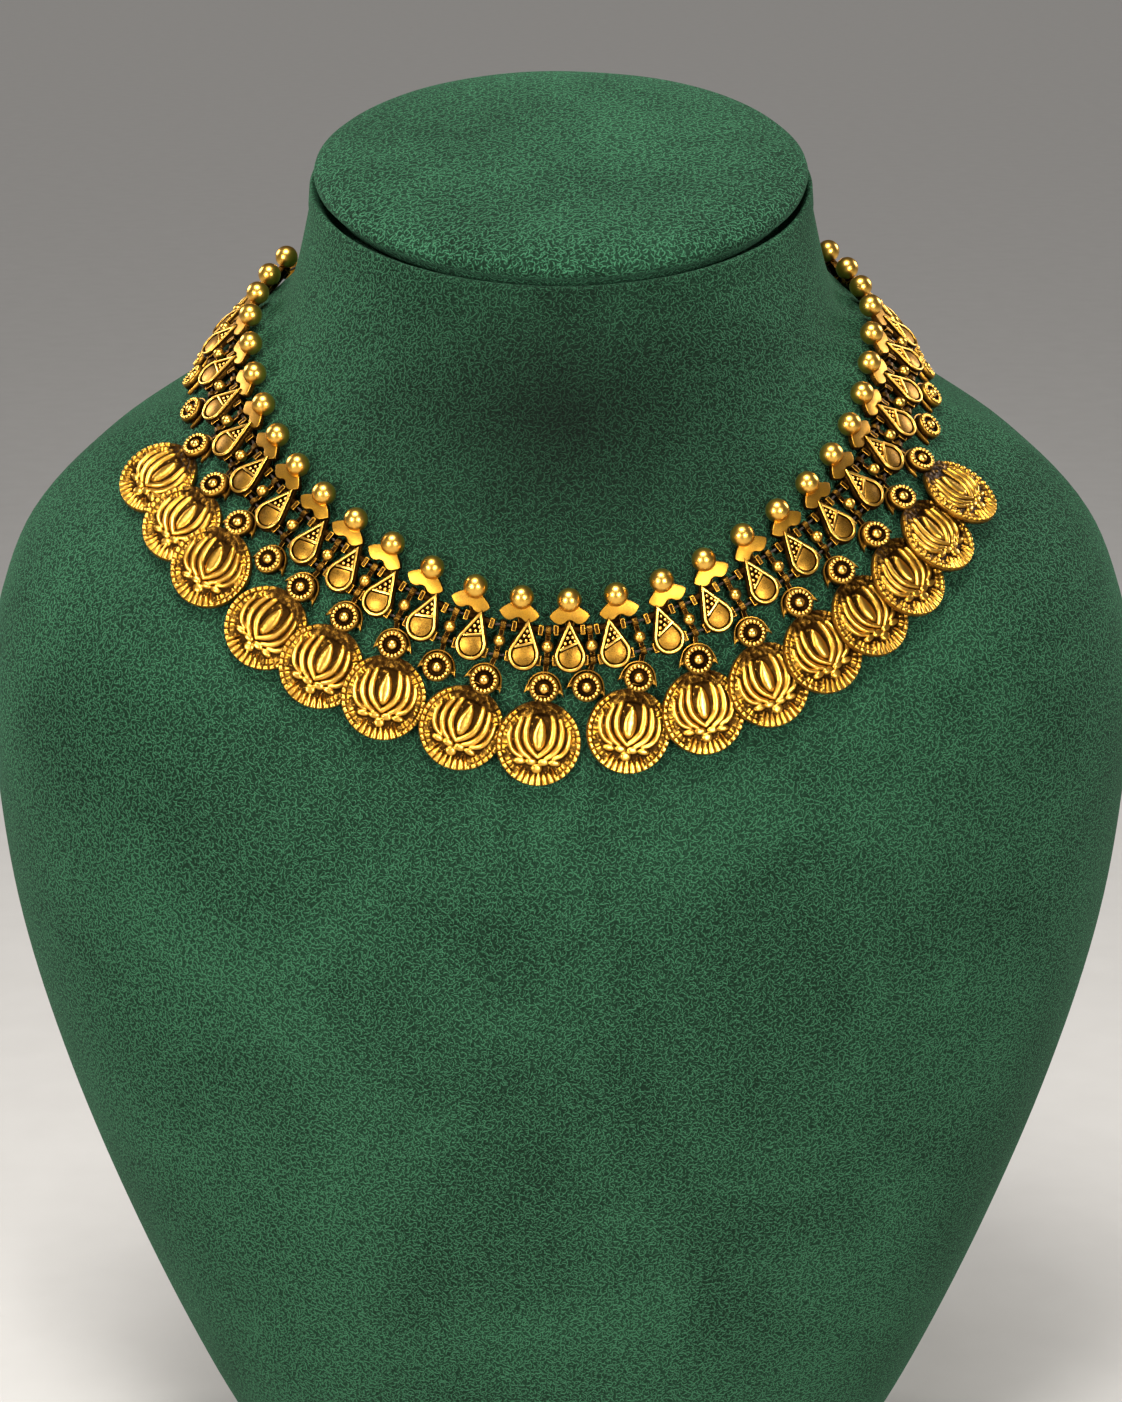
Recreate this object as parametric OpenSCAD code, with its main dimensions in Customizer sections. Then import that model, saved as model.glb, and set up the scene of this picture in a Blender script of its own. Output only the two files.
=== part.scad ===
// Temple necklace on a neck bust. Teardrop links and lotus coin drops are strung
// on two threads, and a short ring chain closes the loop behind the neck.
// Origin at the middle of the flat base, +Z up, the chest faces -Y. Millimetres.

/* [Bust] */
// Height of the bust at the back of the neck rim
bust_h = 295; // [250:1:340]
// Width of the bust across the shoulders
bust_w = 233; // [200:1:270]
// Depth of the bust from the chest to the back
bust_d = 137; // [120:1:160]
// Height of the padded neck cap above the neck rim
cap_h = 9; // [5:0.5:14]
// How far the cap is drawn in at the crease round its foot
crease = 1.2; // [0.5:0.1:2]

/* [Necklace] */
// Number of teardrop links, an odd number
link_count = 31; // [25:2:31]
// Spacing of the ball beads along the neck
pitch = 8.72; // [8.4:0.02:9.4]
// How far the middle link hangs to the wearer's left of the bust's middle
hang_shift = 1.5; // [0:0.1:3]
// Clearance between neighbouring pieces, and between a piece and the bust
gap = 0.3; // [0.2:0.05:0.5]

/* [Teardrop links] */
// Diameter of the polished ball bead
ball_dia = 4.6; // [4:0.1:5.2]
// Width of the crescent under the ball
crescent_w = 7.6; // [6.6:0.1:8.4]
// Height of the crescent
crescent_h = 3.1; // [2.4:0.1:3.6]
// Thickness of the crescent plate
crescent_t = 1.1; // [0.8:0.1:1.5]
// Length of the teardrop cell
tear_l = 9.9; // [9:0.1:10.6]
// Width of the teardrop cell
tear_w = 5.9; // [5.2:0.1:6.4]
// Depth of the teardrop cell from back to rim
tear_t = 1.5; // [1.3:0.05:1.8]
// Height of the cell's back above the back of the link
cell_lift = 1.15; // [1.1:0.05:1.4]
// Depth of the sunken fields inside the cell
field_depth = 0.65; // [0.4:0.05:0.75]
// Width of the cell's rim wire
rim_w = 0.45; // [0.35:0.05:0.6]
// Angle of the bar across the cell
bar_angle = 22; // [10:1:30]
// Distance from the ball's middle down to the cell's middle
tear_drop = 8.6; // [8.2:0.1:9.4]
// Diameter of the granules in the cell's upper field
granule_dia = 0.6; // [0.4:0.05:0.7]
// Length of the square tube ends that carry the threads
tube_end_l = 0.9; // [0.6:0.05:1.1]
// Side of the square tube ends
tube_end_w = 1.9; // [1.6:0.05:2.1]

/* [Threads] */
// Diameter of both threads
thread_dia = 0.5; // [0.4:0.05:0.6]
// Bore that the threads run through
bore_dia = 1.05; // [0.95:0.05:1.2]
// Distance from the ball row down to the upper thread
upper_drop = 5.6; // [5.2:0.1:6]
// Distance from the upper thread to the lower thread
thread_gap = 5.7; // [5.4:0.1:6.2]

/* [Drops] */
// Width of the drop's upright bar
drop_bar_w = 0.9; // [0.7:0.05:1.1]
// Length of the drop's eyes along the threads
eye_l = 1.15; // [0.8:0.05:1.6]
// Diameter of the small ball on the upright bar
bead_dia = 2.3; // [1.9:0.1:2.5]
// Distance from the lower thread down to the rosette's middle
rosette_drop = 5.3; // [5:0.1:6]
// Diameter of the granulated rosette
rosette_dia = 5.5; // [4.8:0.1:6]
// Height of the rosette's drum
rosette_t = 2.1; // [1.6:0.1:2.6]
// Number of granules round a rosette
rosette_granules = 18; // [14:1:20]
// Width of the dark collar behind the rosette
collar_w = 6.6; // [6:0.1:7]
// Thickness of the collar
collar_t = 0.8; // [0.6:0.05:0.8]
// Distance from the lower thread down to the coin's middle
coin_drop_l = 15.3; // [14.8:0.1:16]
// Diameter of the lotus coin
coin_dia = 16; // [15:0.1:16.4]
// Thickness of the coin's plain disc
coin_t = 1.0; // [0.9:0.05:1.2]
// Height of the relief on the coin
relief_h = 0.45; // [0.3:0.05:0.5]
// Angle by which each coin's left edge lifts over its neighbour
coin_tilt = 10; // [10:0.5:12]
// Number of ribs round the coin's rim
rib_count = 38; // [30:1:40]

/* [Chain and clasp] */
// Diameter of a chain ring, measured over the wire
ring_dia = 5; // [4.6:0.1:5.6]
// Diameter of the ring's wire
wire_dia = 1; // [0.8:0.05:1.1]
// Length of the plain clasp between its two eyes
clasp_l = 9; // [8:0.5:14]

/* [Hidden] */
$fn = 32;

// Sections of the bust from the base up to the neck rim. Columns: height at the front,
// side and back as shares of bust_h; depth at the front, side and back as shares of
// bust_d; half width as a share of half of bust_w; roundness of the outline
bust_rows = [
    [0, 0, 0, -0.33, -0.01, 0.33, 0.52, 2.2],
    [0.10, 0.10, 0.10, -0.415, -0.02, 0.37, 0.655, 2.2],
    [0.22, 0.22, 0.22, -0.48, -0.035, 0.415, 0.785, 2.2],
    [0.34, 0.34, 0.34, -0.52, -0.045, 0.44, 0.893, 2.2],
    [0.45, 0.45, 0.45, -0.54, -0.05, 0.453, 0.966, 2.2],
    [0.55, 0.55, 0.55, -0.54, -0.065, 0.46, 0.996, 2.2],
    [0.62, 0.635, 0.645, -0.526, -0.08, 0.46, 1, 2.2],
    [0.654, 0.725, 0.736, -0.51, -0.088, 0.445, 0.929, 2.2],
    [0.69, 0.778, 0.81, -0.493, -0.084, 0.423, 0.80, 2.1],
    [0.722, 0.81, 0.865, -0.484, -0.082, 0.4, 0.648, 2.05],
    [0.757, 0.854, 0.905, -0.465, -0.07, 0.372, 0.543, 2],
    [0.813, 0.878, 0.946, -0.405, -0.036, 0.343, 0.472, 2],
    [0.898, 0.95, 1, -0.328, -0.007, 0.306, 0.425, 2]
];
bust_top = len(bust_rows) - 1;
// Rings of the bust's skin between two sections, and points round each ring
rings_per_row = 2;
ring_points = 44;

// Rings of the neck cap above the rim. Columns: size as a share of the rim,
// rise as a share of cap_h
cap_rows = [[1, 0.12], [1.012, 0.3], [0.995, 0.55], [0.94, 0.74], [0.8, 0.86], [0.5, 0.95]];

// The ball row's course over the bust, as a level in bust_rows for each 30 degrees
// from the front middle round to the back middle
route_levels = [8.74, 9.49, 10.01, 10.44, 10.63, 10.8, 10.9];
route_step = 30;
// Angle between two measured points of the course
course_step = 1.5;

// How the links hang. Columns: link number from the middle, sideways shift of the ball
// and crescent, turn of the whole link in degrees
link_hang = [
    [-15, 0, 0], [-12, -0.4, 0], [-9, -2, 2], [-6, -3.9, 2], [-4, -3.5, -3], [-3, -3, -3], [-1, -1.9, -3],
    [0, 0.1, 0], [1, 2.3, 3], [3, 2.9, 3], [5, 1.7, 0], [8, 0.2, 0], [15, 0, 0]
];
// The drops that carry a coin. Columns: gap number from the left, swing in degrees
coin_hang = [
    [6, 15], [7, 23], [8, 21], [10, -7], [11, 8], [12, 20], [14, -12], [15, -2],
    [17, -25], [18, -19], [19, -13], [20, -5], [21, -7], [22, -12], [23, -16], [24, -13]
];
// The drops without a coin that hang at a swing. Columns: gap number, swing in degrees
plain_hang = [[8.5, 0], [9, 10], [9.5, 0], [12.5, 0], [13, 8], [13.5, 0], [15.5, 0], [16, -18], [16.5, 0]];

// Right half of the crescent's outline, from the lower notch round to the ball.
// Columns: share of crescent_w across, share of crescent_h down from the ball's middle
crescent_rows = [
    [0, -1.17], [0.12, -1.34], [0.25, -1.4], [0.38, -1.26], [0.49, -0.87], [0.43, -0.7],
    [0.34, -0.55], [0.2, -0.52], [0, -0.6]
];
// Granules in the upper field. Columns: shares of half the cell's width and length
granule_rows = [
    [0.02, 0.5], [-0.13, 0.31], [0.2, 0.33], [-0.3, 0.1], [0.04, 0.14], [0.34, 0.19], [-0.42, -0.07]
];
// Petals on the right of the lotus. Columns: foot x, foot y, bend x, bend y, tip x,
// tip y, width, all as shares of the coin's radius
petal_rows = [
    [0.03, -0.3, 0.45, 0.06, 0.26, 0.67, 0.125],
    [0.175, -0.36, 0.635, -0.055, 0.455, 0.575, 0.12],
    [0.375, -0.35, 0.74, -0.13, 0.65, 0.31, 0.11]
];
// Seed lobes under the lotus. Columns: x, y, half width, half height, as shares of
// the coin's radius
seed_rows = [
    [-0.14, -0.425, 0.105, 0.07], [0.14, -0.425, 0.105, 0.07], [0, -0.575, 0.115, 0.1],
    [-0.4, -0.39, 0.125, 0.05], [0.4, -0.39, 0.125, 0.05]
];

link_mid = (link_count + 1) / 2;
lower_drop = upper_drop + thread_gap;
link_l = tear_drop + tear_l / 2;
// Height of the thread axis above a link's back
thread_z = tube_end_w / 2;
// Height of the collar's back, measured from the thread axis
collar_z = -thread_z + 0.1;
// Half the length of a link along each thread
upper_half = tear_w / 2;
lower_half = tear_w / 2 + 0.45;
ring_r = (ring_dia - wire_dia) / 2;
ring_pitch = 2 * ring_r - wire_dia - gap / 3;
chain_z = ring_dia / 2 + gap;
// Length of the cutter that bores a link or a drop from side to side
drill_l = 6 * tear_w;

function two(n) = str(n < 10 ? "0" : "", n);
function unit(a) = a / norm(a);
// Turns vector a about the unit vector n
function turned(a, n, angle) = a * cos(angle) + cross(n, a) * sin(angle) + n * (n * a) * (1 - cos(angle));
// Matrix that carries a piece to an origin, with its own x, y and z directions
function matrix(x, y, z, o) = [for (i = [0:2]) [x[i], y[i], z[i], o[i]]];
function cum(list, i = 0, sum = 0) =
    i >= len(list) ? [] : concat([sum + list[i]], cum(list, i + 1, sum + list[i]));

// Smooth curve through the rows of a table
function row_at(rows, k) =
    k < 0 ? 2 * rows[0] - rows[1]
    : k >= len(rows) ? 2 * rows[len(rows) - 1] - rows[len(rows) - 2] : rows[k];
function smooth(rows, x) =
    let (i = max(0, min(floor(x), len(rows) - 2)), t = x - i,
         a = row_at(rows, i - 1), b = rows[i], c = rows[i + 1], d = row_at(rows, i + 2))
    b + t / 2 * (c - a + t * (2 * a - 5 * b + 4 * c - d + t * (3 * (b - c) + d - a)));

// Point on the bust at an angle round it (0 at the front, 90 at its left arm) and a level
function on_bust(p) =
    let (row = smooth(bust_rows, p[1]), c = cos(p[0]), s = sin(p[0]), power = 2 / row[7],
         q = pow(abs(c), power), far = c > 0 ? 0 : 2)
    [bust_w / 2 * row[6] * sign(s) * pow(abs(s), power),
     bust_d * (row[4] + (row[3 + far] - row[4]) * q),
     bust_h * (row[1] + (row[far] - row[1]) * q)];
function round_slope(p) = (on_bust(p + [0.05, 0]) - on_bust(p - [0.05, 0])) / 0.1;
function rise_slope(p) = (on_bust(p + [0, 0.001]) - on_bust(p - [0, 0.001])) / 0.002;
function outward(p) = unit(cross(round_slope(p), rise_slope(p)));

// Walks over the bust from point p in direction dir, and gives the point reached
function walk(p, dir, left) =
    left <= 0 ? p
    : let (a = round_slope(p), b = rise_slope(p), n = unit(cross(a, b)), d = unit(dir - n * (dir * n)),
           step = min(2, left), det = (a * a) * (b * b) - (a * b) * (a * b))
      walk(p + step / det * [(b * b) * (a * d) - (a * b) * (b * d), (a * a) * (b * d) - (a * b) * (a * d)],
           d, left - step);

// The ball row's course and its length
function route_at(angle) =
    [angle, smooth(concat([route_levels[1]], route_levels, [route_levels[len(route_levels) - 2]]),
                   1 + abs(angle) / route_step)];
course_angles = [for (a = [-180:course_step:180]) a];
course = [for (a = course_angles) on_bust(route_at(a))];
course_sums = cum([for (i = [0:len(course) - 1]) i == 0 ? 0 : norm(course[i] - course[i - 1])]);
course_len = course_sums[len(course_sums) - 1];
course_zero = lookup(0, [for (i = [0:len(course) - 1]) [course_angles[i], course_sums[i]]]);
course_table = [for (i = [0:len(course) - 1]) [course_sums[i] - course_zero, course_angles[i]]];
function station(s) = route_at(lookup(s, course_table));
function along(p) = unit(on_bust(route_at(p[0] + 0.1)) - on_bust(route_at(p[0] - 0.1)));

// Places where a hung piece comes close to the bust. Columns: across, up, height above its back
hung_feet = [
    [0, -link_l / 2, 0], [-upper_half, -upper_drop, 0], [upper_half, -upper_drop, 0],
    [-lower_half, -lower_drop, 0], [lower_half, -lower_drop, 0],
    [0, ball_dia * 0.33, ball_dia * 0.12], [0, ball_dia * 0.45, ball_dia * 0.28]
];
// Frame of a piece that lies on the bust from station s down over a length
function hung_frame(s, length, turn = 0, lift = gap) =
    let (p = station(s), n = outward(p), t = turned(along(p), n, turn), down = cross(t, n),
         top = on_bust(p), low = on_bust(walk(p, down, length)), y = unit(top - low),
         z = unit(cross(t, y)),
         swell = max([for (q = hung_feet) let (way = q[0] * t - q[1] * down)
                      (on_bust(walk(p, way, norm([q[0], q[1]]))) - top) * z - q[2]]))
    matrix(cross(y, z), y, z, top + z * (lift + max(0, swell)));
function point_in(m, p) = [for (i = [0:2]) m[i][0] * p[0] + m[i][1] * p[1] + m[i][2] * p[2] + m[i][3]];
function axis_of(m, k) = [m[0][k], m[1][k], m[2][k]];

function hang_of(i, column) = lookup(i - link_mid, [for (row = link_hang) [row[0], row[column]]]);
function link_station(i) = (i - link_mid) * pitch + hang_shift - hang_of(i, 1);
link_frames = [for (i = [1:link_count]) hung_frame(link_station(i), link_l, hang_of(i, 2))];
// Places of the two end bars, beyond the first and last link
end_reach = upper_half + lower_half + 3 * gap;
end_frames = [hung_frame(link_station(1) - end_reach, link_l),
              hung_frame(link_station(link_count) + end_reach, link_l)];

// Ends of a link's bore on the upper or lower thread
function bore_end(i, way, lower) =
    point_in(link_frames[i - 1],
             [way * (lower ? lower_half : upper_half), lower ? -lower_drop : -upper_drop, thread_z]);
// Frame of the drop in the gap after link k, at the lower thread
function drop_frame(k) =
    let (high = (bore_end(k, 1, false) + bore_end(k + 1, -1, false)) / 2,
         low = (bore_end(k, 1, true) + bore_end(k + 1, -1, true)) / 2,
         y = unit(high - low), t = bore_end(k + 1, -1, true) - bore_end(k, 1, true), z = unit(cross(t, y)))
    matrix(cross(y, z), y, z, low);
function drop_rise(k) =
    norm(bore_end(k, 1, false) + bore_end(k + 1, -1, false)
         - bore_end(k, 1, true) - bore_end(k + 1, -1, true)) / 2;
// Point of the bust under the drop in gap k at the lower thread, and its downward way
function drop_foot(k) =
    let (p = station((link_station(k) + link_station(k + 1)) / 2), n = outward(p),
         t = turned(along(p), n, (hang_of(k, 2) + hang_of(k + 1, 2)) / 2), down = cross(t, n))
    [walk(p, down, lower_drop), down];
// Frame under the drop's bar: it leads down to a place at a given length and height
function low_frame(k, length, height, swing) =
    let (m = drop_frame(k), o = axis_of(m, 3), foot = drop_foot(k), n = outward(foot[0]),
         way = turned(foot[1] - n * (foot[1] * n), n, swing), end = walk(foot[0], way, length),
         y = unit(o - on_bust(end) - outward(end) * height), x = unit(cross(y, outward(end))))
    matrix(x, y, cross(x, y), o);
// Half the angle of the coin's rim that stays bare under the rosette
bare_half = 22;
// Width of the tab that joins a coin to its rosette
tab_w = rosette_dia * 0.5;
// Frame of a coin at the end of its drop
coin_lift = coin_dia / 2 * sin(coin_tilt) + coin_t + gap;
function coin_frame(k, swing) =
    let (foot = drop_foot(k), n = outward(foot[0]),
         way = turned(foot[1] - n * (foot[1] * n), n, swing), end = walk(foot[0], way, coin_drop_l),
         z = outward(end), x = unit(cross(z, way)))
    matrix(x, cross(z, x), z, on_bust(end) + z * coin_lift);

// Closed skin over a stack of rings, each with the same number of points
module skin(rings) {
    n = len(rings[0]);
    last = len(rings) - 1;
    polyhedron(
        points = [for (ring = rings) each ring],
        faces = concat(
            [[for (i = [0:n - 1]) i]],
            [for (r = [0:last - 1], i = [0:n - 1]) [r * n + i, (r + 1) * n + i, r * n + (i + 1) % n]],
            [for (r = [0:last - 1], i = [0:n - 1])
                [r * n + (i + 1) % n, (r + 1) * n + i, (r + 1) * n + (i + 1) % n]],
            [[for (i = [n - 1:-1:0]) last * n + i]]
        )
    );
}

module bust_body() {
    color("darkgreen")
    skin([for (k = [0:bust_top * rings_per_row])
        [for (i = [0:ring_points - 1]) on_bust([i * 360 / ring_points, k / rings_per_row])]]);
}

// Point of the neck rim, drawn in towards its middle to a share of its size
function rim_mid() = (on_bust([0, bust_top]) + on_bust([180, bust_top])) / 2;
function rim_up() = unit(cross([1, 0, 0], on_bust([180, bust_top]) - on_bust([0, bust_top])));
function rim_point(angle, share, rise) =
    rim_mid() + share * (on_bust([angle, bust_top]) - rim_mid()) + rise * rim_up();

module bust_cap() {
    rim_half = bust_w / 2 * bust_rows[bust_top][6];
    rows = concat([[1 - crease / rim_half, gap / cap_h]], cap_rows, [[0.12, 1]]);
    color("seagreen")
    skin([for (row = rows)
          [for (i = [0:ring_points - 1]) rim_point(i * 360 / ring_points, row[0], row[1] * cap_h)]]);
}

// Teardrop outline round the origin, drawn in by a wall
function teardrop(wall) =
    let (r = tear_w / 2 - wall, mid = tear_w / 2 - tear_l / 2,
         slant = asin(tear_w / 2 / (tear_l - tear_w / 2)),
         tip = tear_l / 2 - wall / sin(slant))
    concat([[0, tip]], [for (i = [0:16]) let (a = slant - i * (180 + 2 * slant) / 16)
                        [r * cos(a), mid + r * sin(a)]]);

module tear_cell() {
    floor_z = tear_t - field_depth;
    difference() {
        linear_extrude(tear_t) polygon(teardrop(0));
        translate([0, 0, floor_z]) linear_extrude(tear_t) difference() {
            polygon(teardrop(rim_w));
            rotate(bar_angle) square([tear_w * 2, rim_w * 0.8], center = true);
        }
    }
    translate([0, 0, floor_z - granule_dia / 2])
    linear_extrude(granule_dia)
    for (g = granule_rows) translate([g[0] * tear_w / 2, g[1] * tear_l / 2]) circle(d = granule_dia);
}

module crescent() {
    half = [for (p = crescent_rows) [p[0] * crescent_w, p[1] * crescent_h]];
    linear_extrude(crescent_t)
    polygon(concat(half, [for (i = [len(half) - 2:-1:1]) [-half[i][0], half[i][1]]]));
}

// Square-ended cross tube that a thread runs through
module cross_tube(half_l) {
    rotate([0, 90, 0]) cylinder(d = tube_end_w * 0.8, h = 2 * half_l - tube_end_l, center = true);
    for (way = [-1, 1])
        translate([way * (half_l - tube_end_l / 2), 0, 0])
        cube([tube_end_l, tube_end_w, tube_end_w], center = true);
}

module bore(length) {
    rotate([0, 90, 0]) cylinder(d = bore_dia, h = length, center = true);
}

module link(i) {
    crown = hang_of(i, 1);
    reach = [crown, -crescent_h * 0.7] - [0, -tear_drop + tear_l * 0.1];
    color("goldenrod")
    multmatrix(link_frames[i - 1])
    difference() {
        union() {
            translate([0, -tear_drop, cell_lift]) tear_cell();
            translate([crown, 0, ball_dia / 2]) sphere(d = ball_dia);
            translate([crown, 0, crescent_t]) crescent();
            translate([0, -tear_drop + tear_l * 0.1, 0.25])
            rotate(atan2(reach[1], reach[0]))
            translate([0, -0.8, 0]) cube([norm(reach), 1.6, crescent_t]);
            translate([0, -upper_drop, thread_z]) cross_tube(upper_half);
            translate([0, -lower_drop, thread_z]) cross_tube(lower_half);
        }
        translate([0, -upper_drop, thread_z]) bore(drill_l);
        translate([0, -lower_drop, thread_z]) bore(drill_l);
    }
}

// Drum with a granulated edge, a sunken ring and a round boss
module rosette() {
    r = rosette_dia / 2;
    boss_r = r * 0.36;
    sunk = rosette_t * 0.72;
    rotate_extrude()
    polygon(concat(
        [[0, 0], [r * 0.94, 0], [r, r * 0.1], [r, rosette_t * 0.9], [r * 0.68, rosette_t], [r * 0.6, sunk]],
        [for (a = [0:15:90]) [boss_r * cos(a), sunk + boss_r * sin(a)]]
    ));
    translate([0, 0, rosette_t * 0.7])
    linear_extrude(rosette_t * 0.45)
    for (i = [0:rosette_granules - 1])
        rotate(i * 360 / rosette_granules) translate([r * 0.83, 0]) circle(r = r * 0.115);
}

// Dark plate round the top of the rosette, with a pointed horn on each side
module collar() {
    r = collar_w / 2;
    translate([0, 0, collar_z])
    linear_extrude(collar_t) {
        difference() {
            translate([0, -rosette_drop]) circle(r = r);
            translate([-2 * r, -rosette_drop - 2 * r - r * 0.2]) square([4 * r, 2 * r]);
        }
        for (way = [-1, 1])
            translate([0, -rosette_drop])
            polygon([[way * r * 0.8, r * 0.45], [way * r * 1.15, -r * 0.4], [way * r * 0.8, -r * 0.15]]);
        translate([-drop_bar_w / 2, -rosette_drop]) square([drop_bar_w, rosette_drop - bore_dia / 2 - 0.15]);
    }
}

// Upright bar strung on both threads, with a small ball between them
module drop_bar(rise) {
    bead_y = rise + upper_drop - tear_drop;
    difference() {
        union() {
            translate([-drop_bar_w / 2, 0, -tube_end_w * 0.4]) cube([drop_bar_w, rise, tube_end_w * 0.7]);
            for (y = [0, rise])
                translate([0, y, 0]) rotate([0, 90, 0]) cylinder(d = tube_end_w, h = eye_l, center = true);
            translate([0, bead_y, thread_z]) sphere(d = bead_dia);
        }
        bore(drill_l);
        translate([0, rise, 0]) bore(drill_l);
    }
}

module drop_neck() {
    collar();
    translate([0, -rosette_drop, collar_z + collar_t / 2]) rosette();
}

// Petal outline on a bent middle line from foot to tip
function petal(row, r) =
    let (foot = [row[0], row[1]] * r, bend = [row[2], row[3]] * r, tip = [row[4], row[5]] * r,
         n = 4,
         line = [for (k = [0:n]) let (t = k / n)
                 foot * (1 - t) * (1 - t) + bend * 2 * t * (1 - t) + tip * t * t],
         half = [for (k = [0:n]) row[6] * r / 2 * (k == 0 || k == n ? 0.45 : 0.85 + 0.15 * sin(180 * k / n))],
         side = [for (k = [0:n]) let (d = unit(line[min(k + 1, n)] - line[max(k - 1, 0)]))
                 [-d[1], d[0]] * half[k]])
    concat([for (k = [0:n]) line[k] + side[k]], [for (k = [n:-1:0]) line[k] - side[k]]);

module lotus() {
    r = coin_dia / 2;
    polygon([for (a = [0:30:330]) [0.135 * r * sin(a) * pow(abs(sin(a)), 0.3), (0.22 - 0.42 * cos(a)) * r]]);
    for (row = petal_rows, way = [0, 1]) mirror([way, 0]) polygon(petal(row, r));
    for (s = seed_rows)
        polygon([for (a = [0:60:300]) [(s[0] + s[2] * cos(a)) * r, (s[1] + s[3] * sin(a)) * r]]);
}

module rim_ribs() {
    r = coin_dia / 2;
    wide = 360 / rib_count * 0.33;
    for (i = [0:rib_count - 1], angle = i * 360 / rib_count)
        if (abs(angle - 90) > bare_half) rotate(angle)
        polygon([for (p = [[0.79, -0.6], [0.96, -1], [0.96, 1], [0.79, 0.6]])
            r * p[0] * [cos(wide * p[1]), sin(wide * p[1])]]);
}

module coin() {
    r = coin_dia / 2;
    edge = coin_t * 0.25;
    translate([0, 0, -coin_t])
    rotate_extrude($fn = 64)
    polygon([[0, 0], [r - edge, 0], [r, edge], [r, coin_t - edge], [r - edge, coin_t], [0, coin_t]]);
    translate([0, 0, -coin_t / 2]) linear_extrude(coin_t / 2 + relief_h) lotus();
    translate([0, 0, -coin_t / 2]) linear_extrude(coin_t / 2 + relief_h * 0.7) rim_ribs();
}

module coin_drop(i) {
    k = coin_hang[i - 1][0];
    swing = coin_hang[i - 1][1];
    color("gold") {
        multmatrix(drop_frame(k)) drop_bar(drop_rise(k));
        multmatrix(low_frame(k, coin_drop_l, coin_lift, swing)) drop_neck();
        multmatrix(coin_frame(k, swing)) rotate([0, coin_tilt, 0]) {
            coin();
            translate([-tab_w / 2, coin_dia * 0.375, -coin_t * 0.86])
            cube([tab_w, coin_drop_l - rosette_drop - coin_dia * 0.375 - rosette_dia * 0.18, coin_t * 0.74]);
        }
    }
}

rosette_lift = thread_z + gap;
plain_gaps = [for (k = [1:link_count - 1]) if (len([for (row = coin_hang) if (row[0] == k) k]) == 0) k];

module rosette_drops() {
    color("darkgoldenrod")
    for (k = plain_gaps) {
        multmatrix(drop_frame(k)) drop_bar(drop_rise(k));
        multmatrix(low_frame(k, rosette_drop, rosette_lift, lookup(k, plain_hang))) drop_neck();
    }
}

// Thread through the end bars and every link, with two points at each
function thread_line(lower) =
    let (y = lower ? -lower_drop : -upper_drop)
    concat(
        [for (way = [-1, 1]) point_in(end_frames[0], [way * drop_bar_w, y, thread_z])],
        [for (i = [1:link_count], way = [-1, 1]) bore_end(i, way, lower)],
        [for (way = [-1, 1]) point_in(end_frames[1], [way * drop_bar_w, y, thread_z])]
    );

module thread(lower) {
    line = thread_line(lower);
    last = len(line) - 1;
    color("saddlebrown")
    skin([for (k = [0:last])
        let (d = unit(line[min(k + 1, last)] - line[max(k - 1, 0)]),
             a = unit(cross(d, [0, 0.3, 1])), b = cross(d, a))
        [for (j = [0:5]) line[k] + thread_dia / 2 * (a * cos(j * 60) + b * sin(j * 60))]]);
}

module thread_upper() { thread(false); }
module thread_lower() { thread(true); }

module ring() {
    rotate_extrude() translate([ring_r, 0]) circle(d = wire_dia);
}

// Distance from an end bar's middle to the middle of its eye
eye_x = ring_dia / 2 + drop_bar_w;
eye_z = chain_z - gap;

// Bar that gathers both threads into one eye for the chain, which lies towards x = way
module end_bar(m, way) {
    mid = -(upper_drop + lower_drop) / 2;
    eye = chain_frame(chain_start(way));
    eye_reach = way * (axis_of(eye, 3) - axis_of(m, 3)) * axis_of(m, 0) - ring_r + wire_dia * 0.2;
    color("goldenrod")
    multmatrix(m)
    difference() {
        union() {
            translate([-drop_bar_w, -lower_drop - tube_end_w / 2, 0])
            cube([2 * drop_bar_w, thread_gap + tube_end_w, tube_end_w]);
            translate([way > 0 ? 0 : -eye_reach, mid - wire_dia, 0])
            cube([eye_reach, 2 * wire_dia, eye_z + wire_dia / 2]);
        }
        translate([0, -upper_drop, thread_z]) bore(drill_l);
        translate([0, -lower_drop, thread_z]) bore(drill_l);
    }
    color("goldenrod") multmatrix(eye) ring();
}

module end_bar_left() { end_bar(end_frames[0], -1); }
module end_bar_right() { end_bar(end_frames[1], 1); }

// The chain's course: level with the middle of the end bars, round the back of the neck
chain_drop = (upper_drop + lower_drop) / 2;
function chain_frame(s) =
    let (p = station(s), n = outward(p), t = along(p), q = walk(p, cross(t, n), chain_drop), z = outward(q),
         y = unit(cross(z, t)))
    matrix(cross(y, z), y, z, on_bust(q) + z * chain_z);
function chain_start(way) =
    let (s = way > 0 ? link_station(link_count) + end_reach : link_station(1) - end_reach,
         m = end_frames[way > 0 ? 1 : 0], across = [for (t = [0, way * eye_x])
             way * (axis_of(chain_frame(s + t), 3) - axis_of(m, 3)) * axis_of(m, 0)])
    s + way * eye_x * (eye_x - across[0]) / (across[1] - across[0]);
function chain_end(way) = way * (course_len / 2 - clasp_l / 2);
chain_samples = 24;
function chain_table(way) =
    let (from = chain_start(way), to = chain_end(way),
         stations = [for (j = [0:chain_samples]) from + (to - from) * j / chain_samples],
         points = [for (s = stations) axis_of(chain_frame(s), 3)],
         sums = cum([for (j = [0:chain_samples]) j == 0 ? 0 : norm(points[j] - points[j - 1])]))
    [for (j = [0:chain_samples]) [sums[j], stations[j]]];

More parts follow.
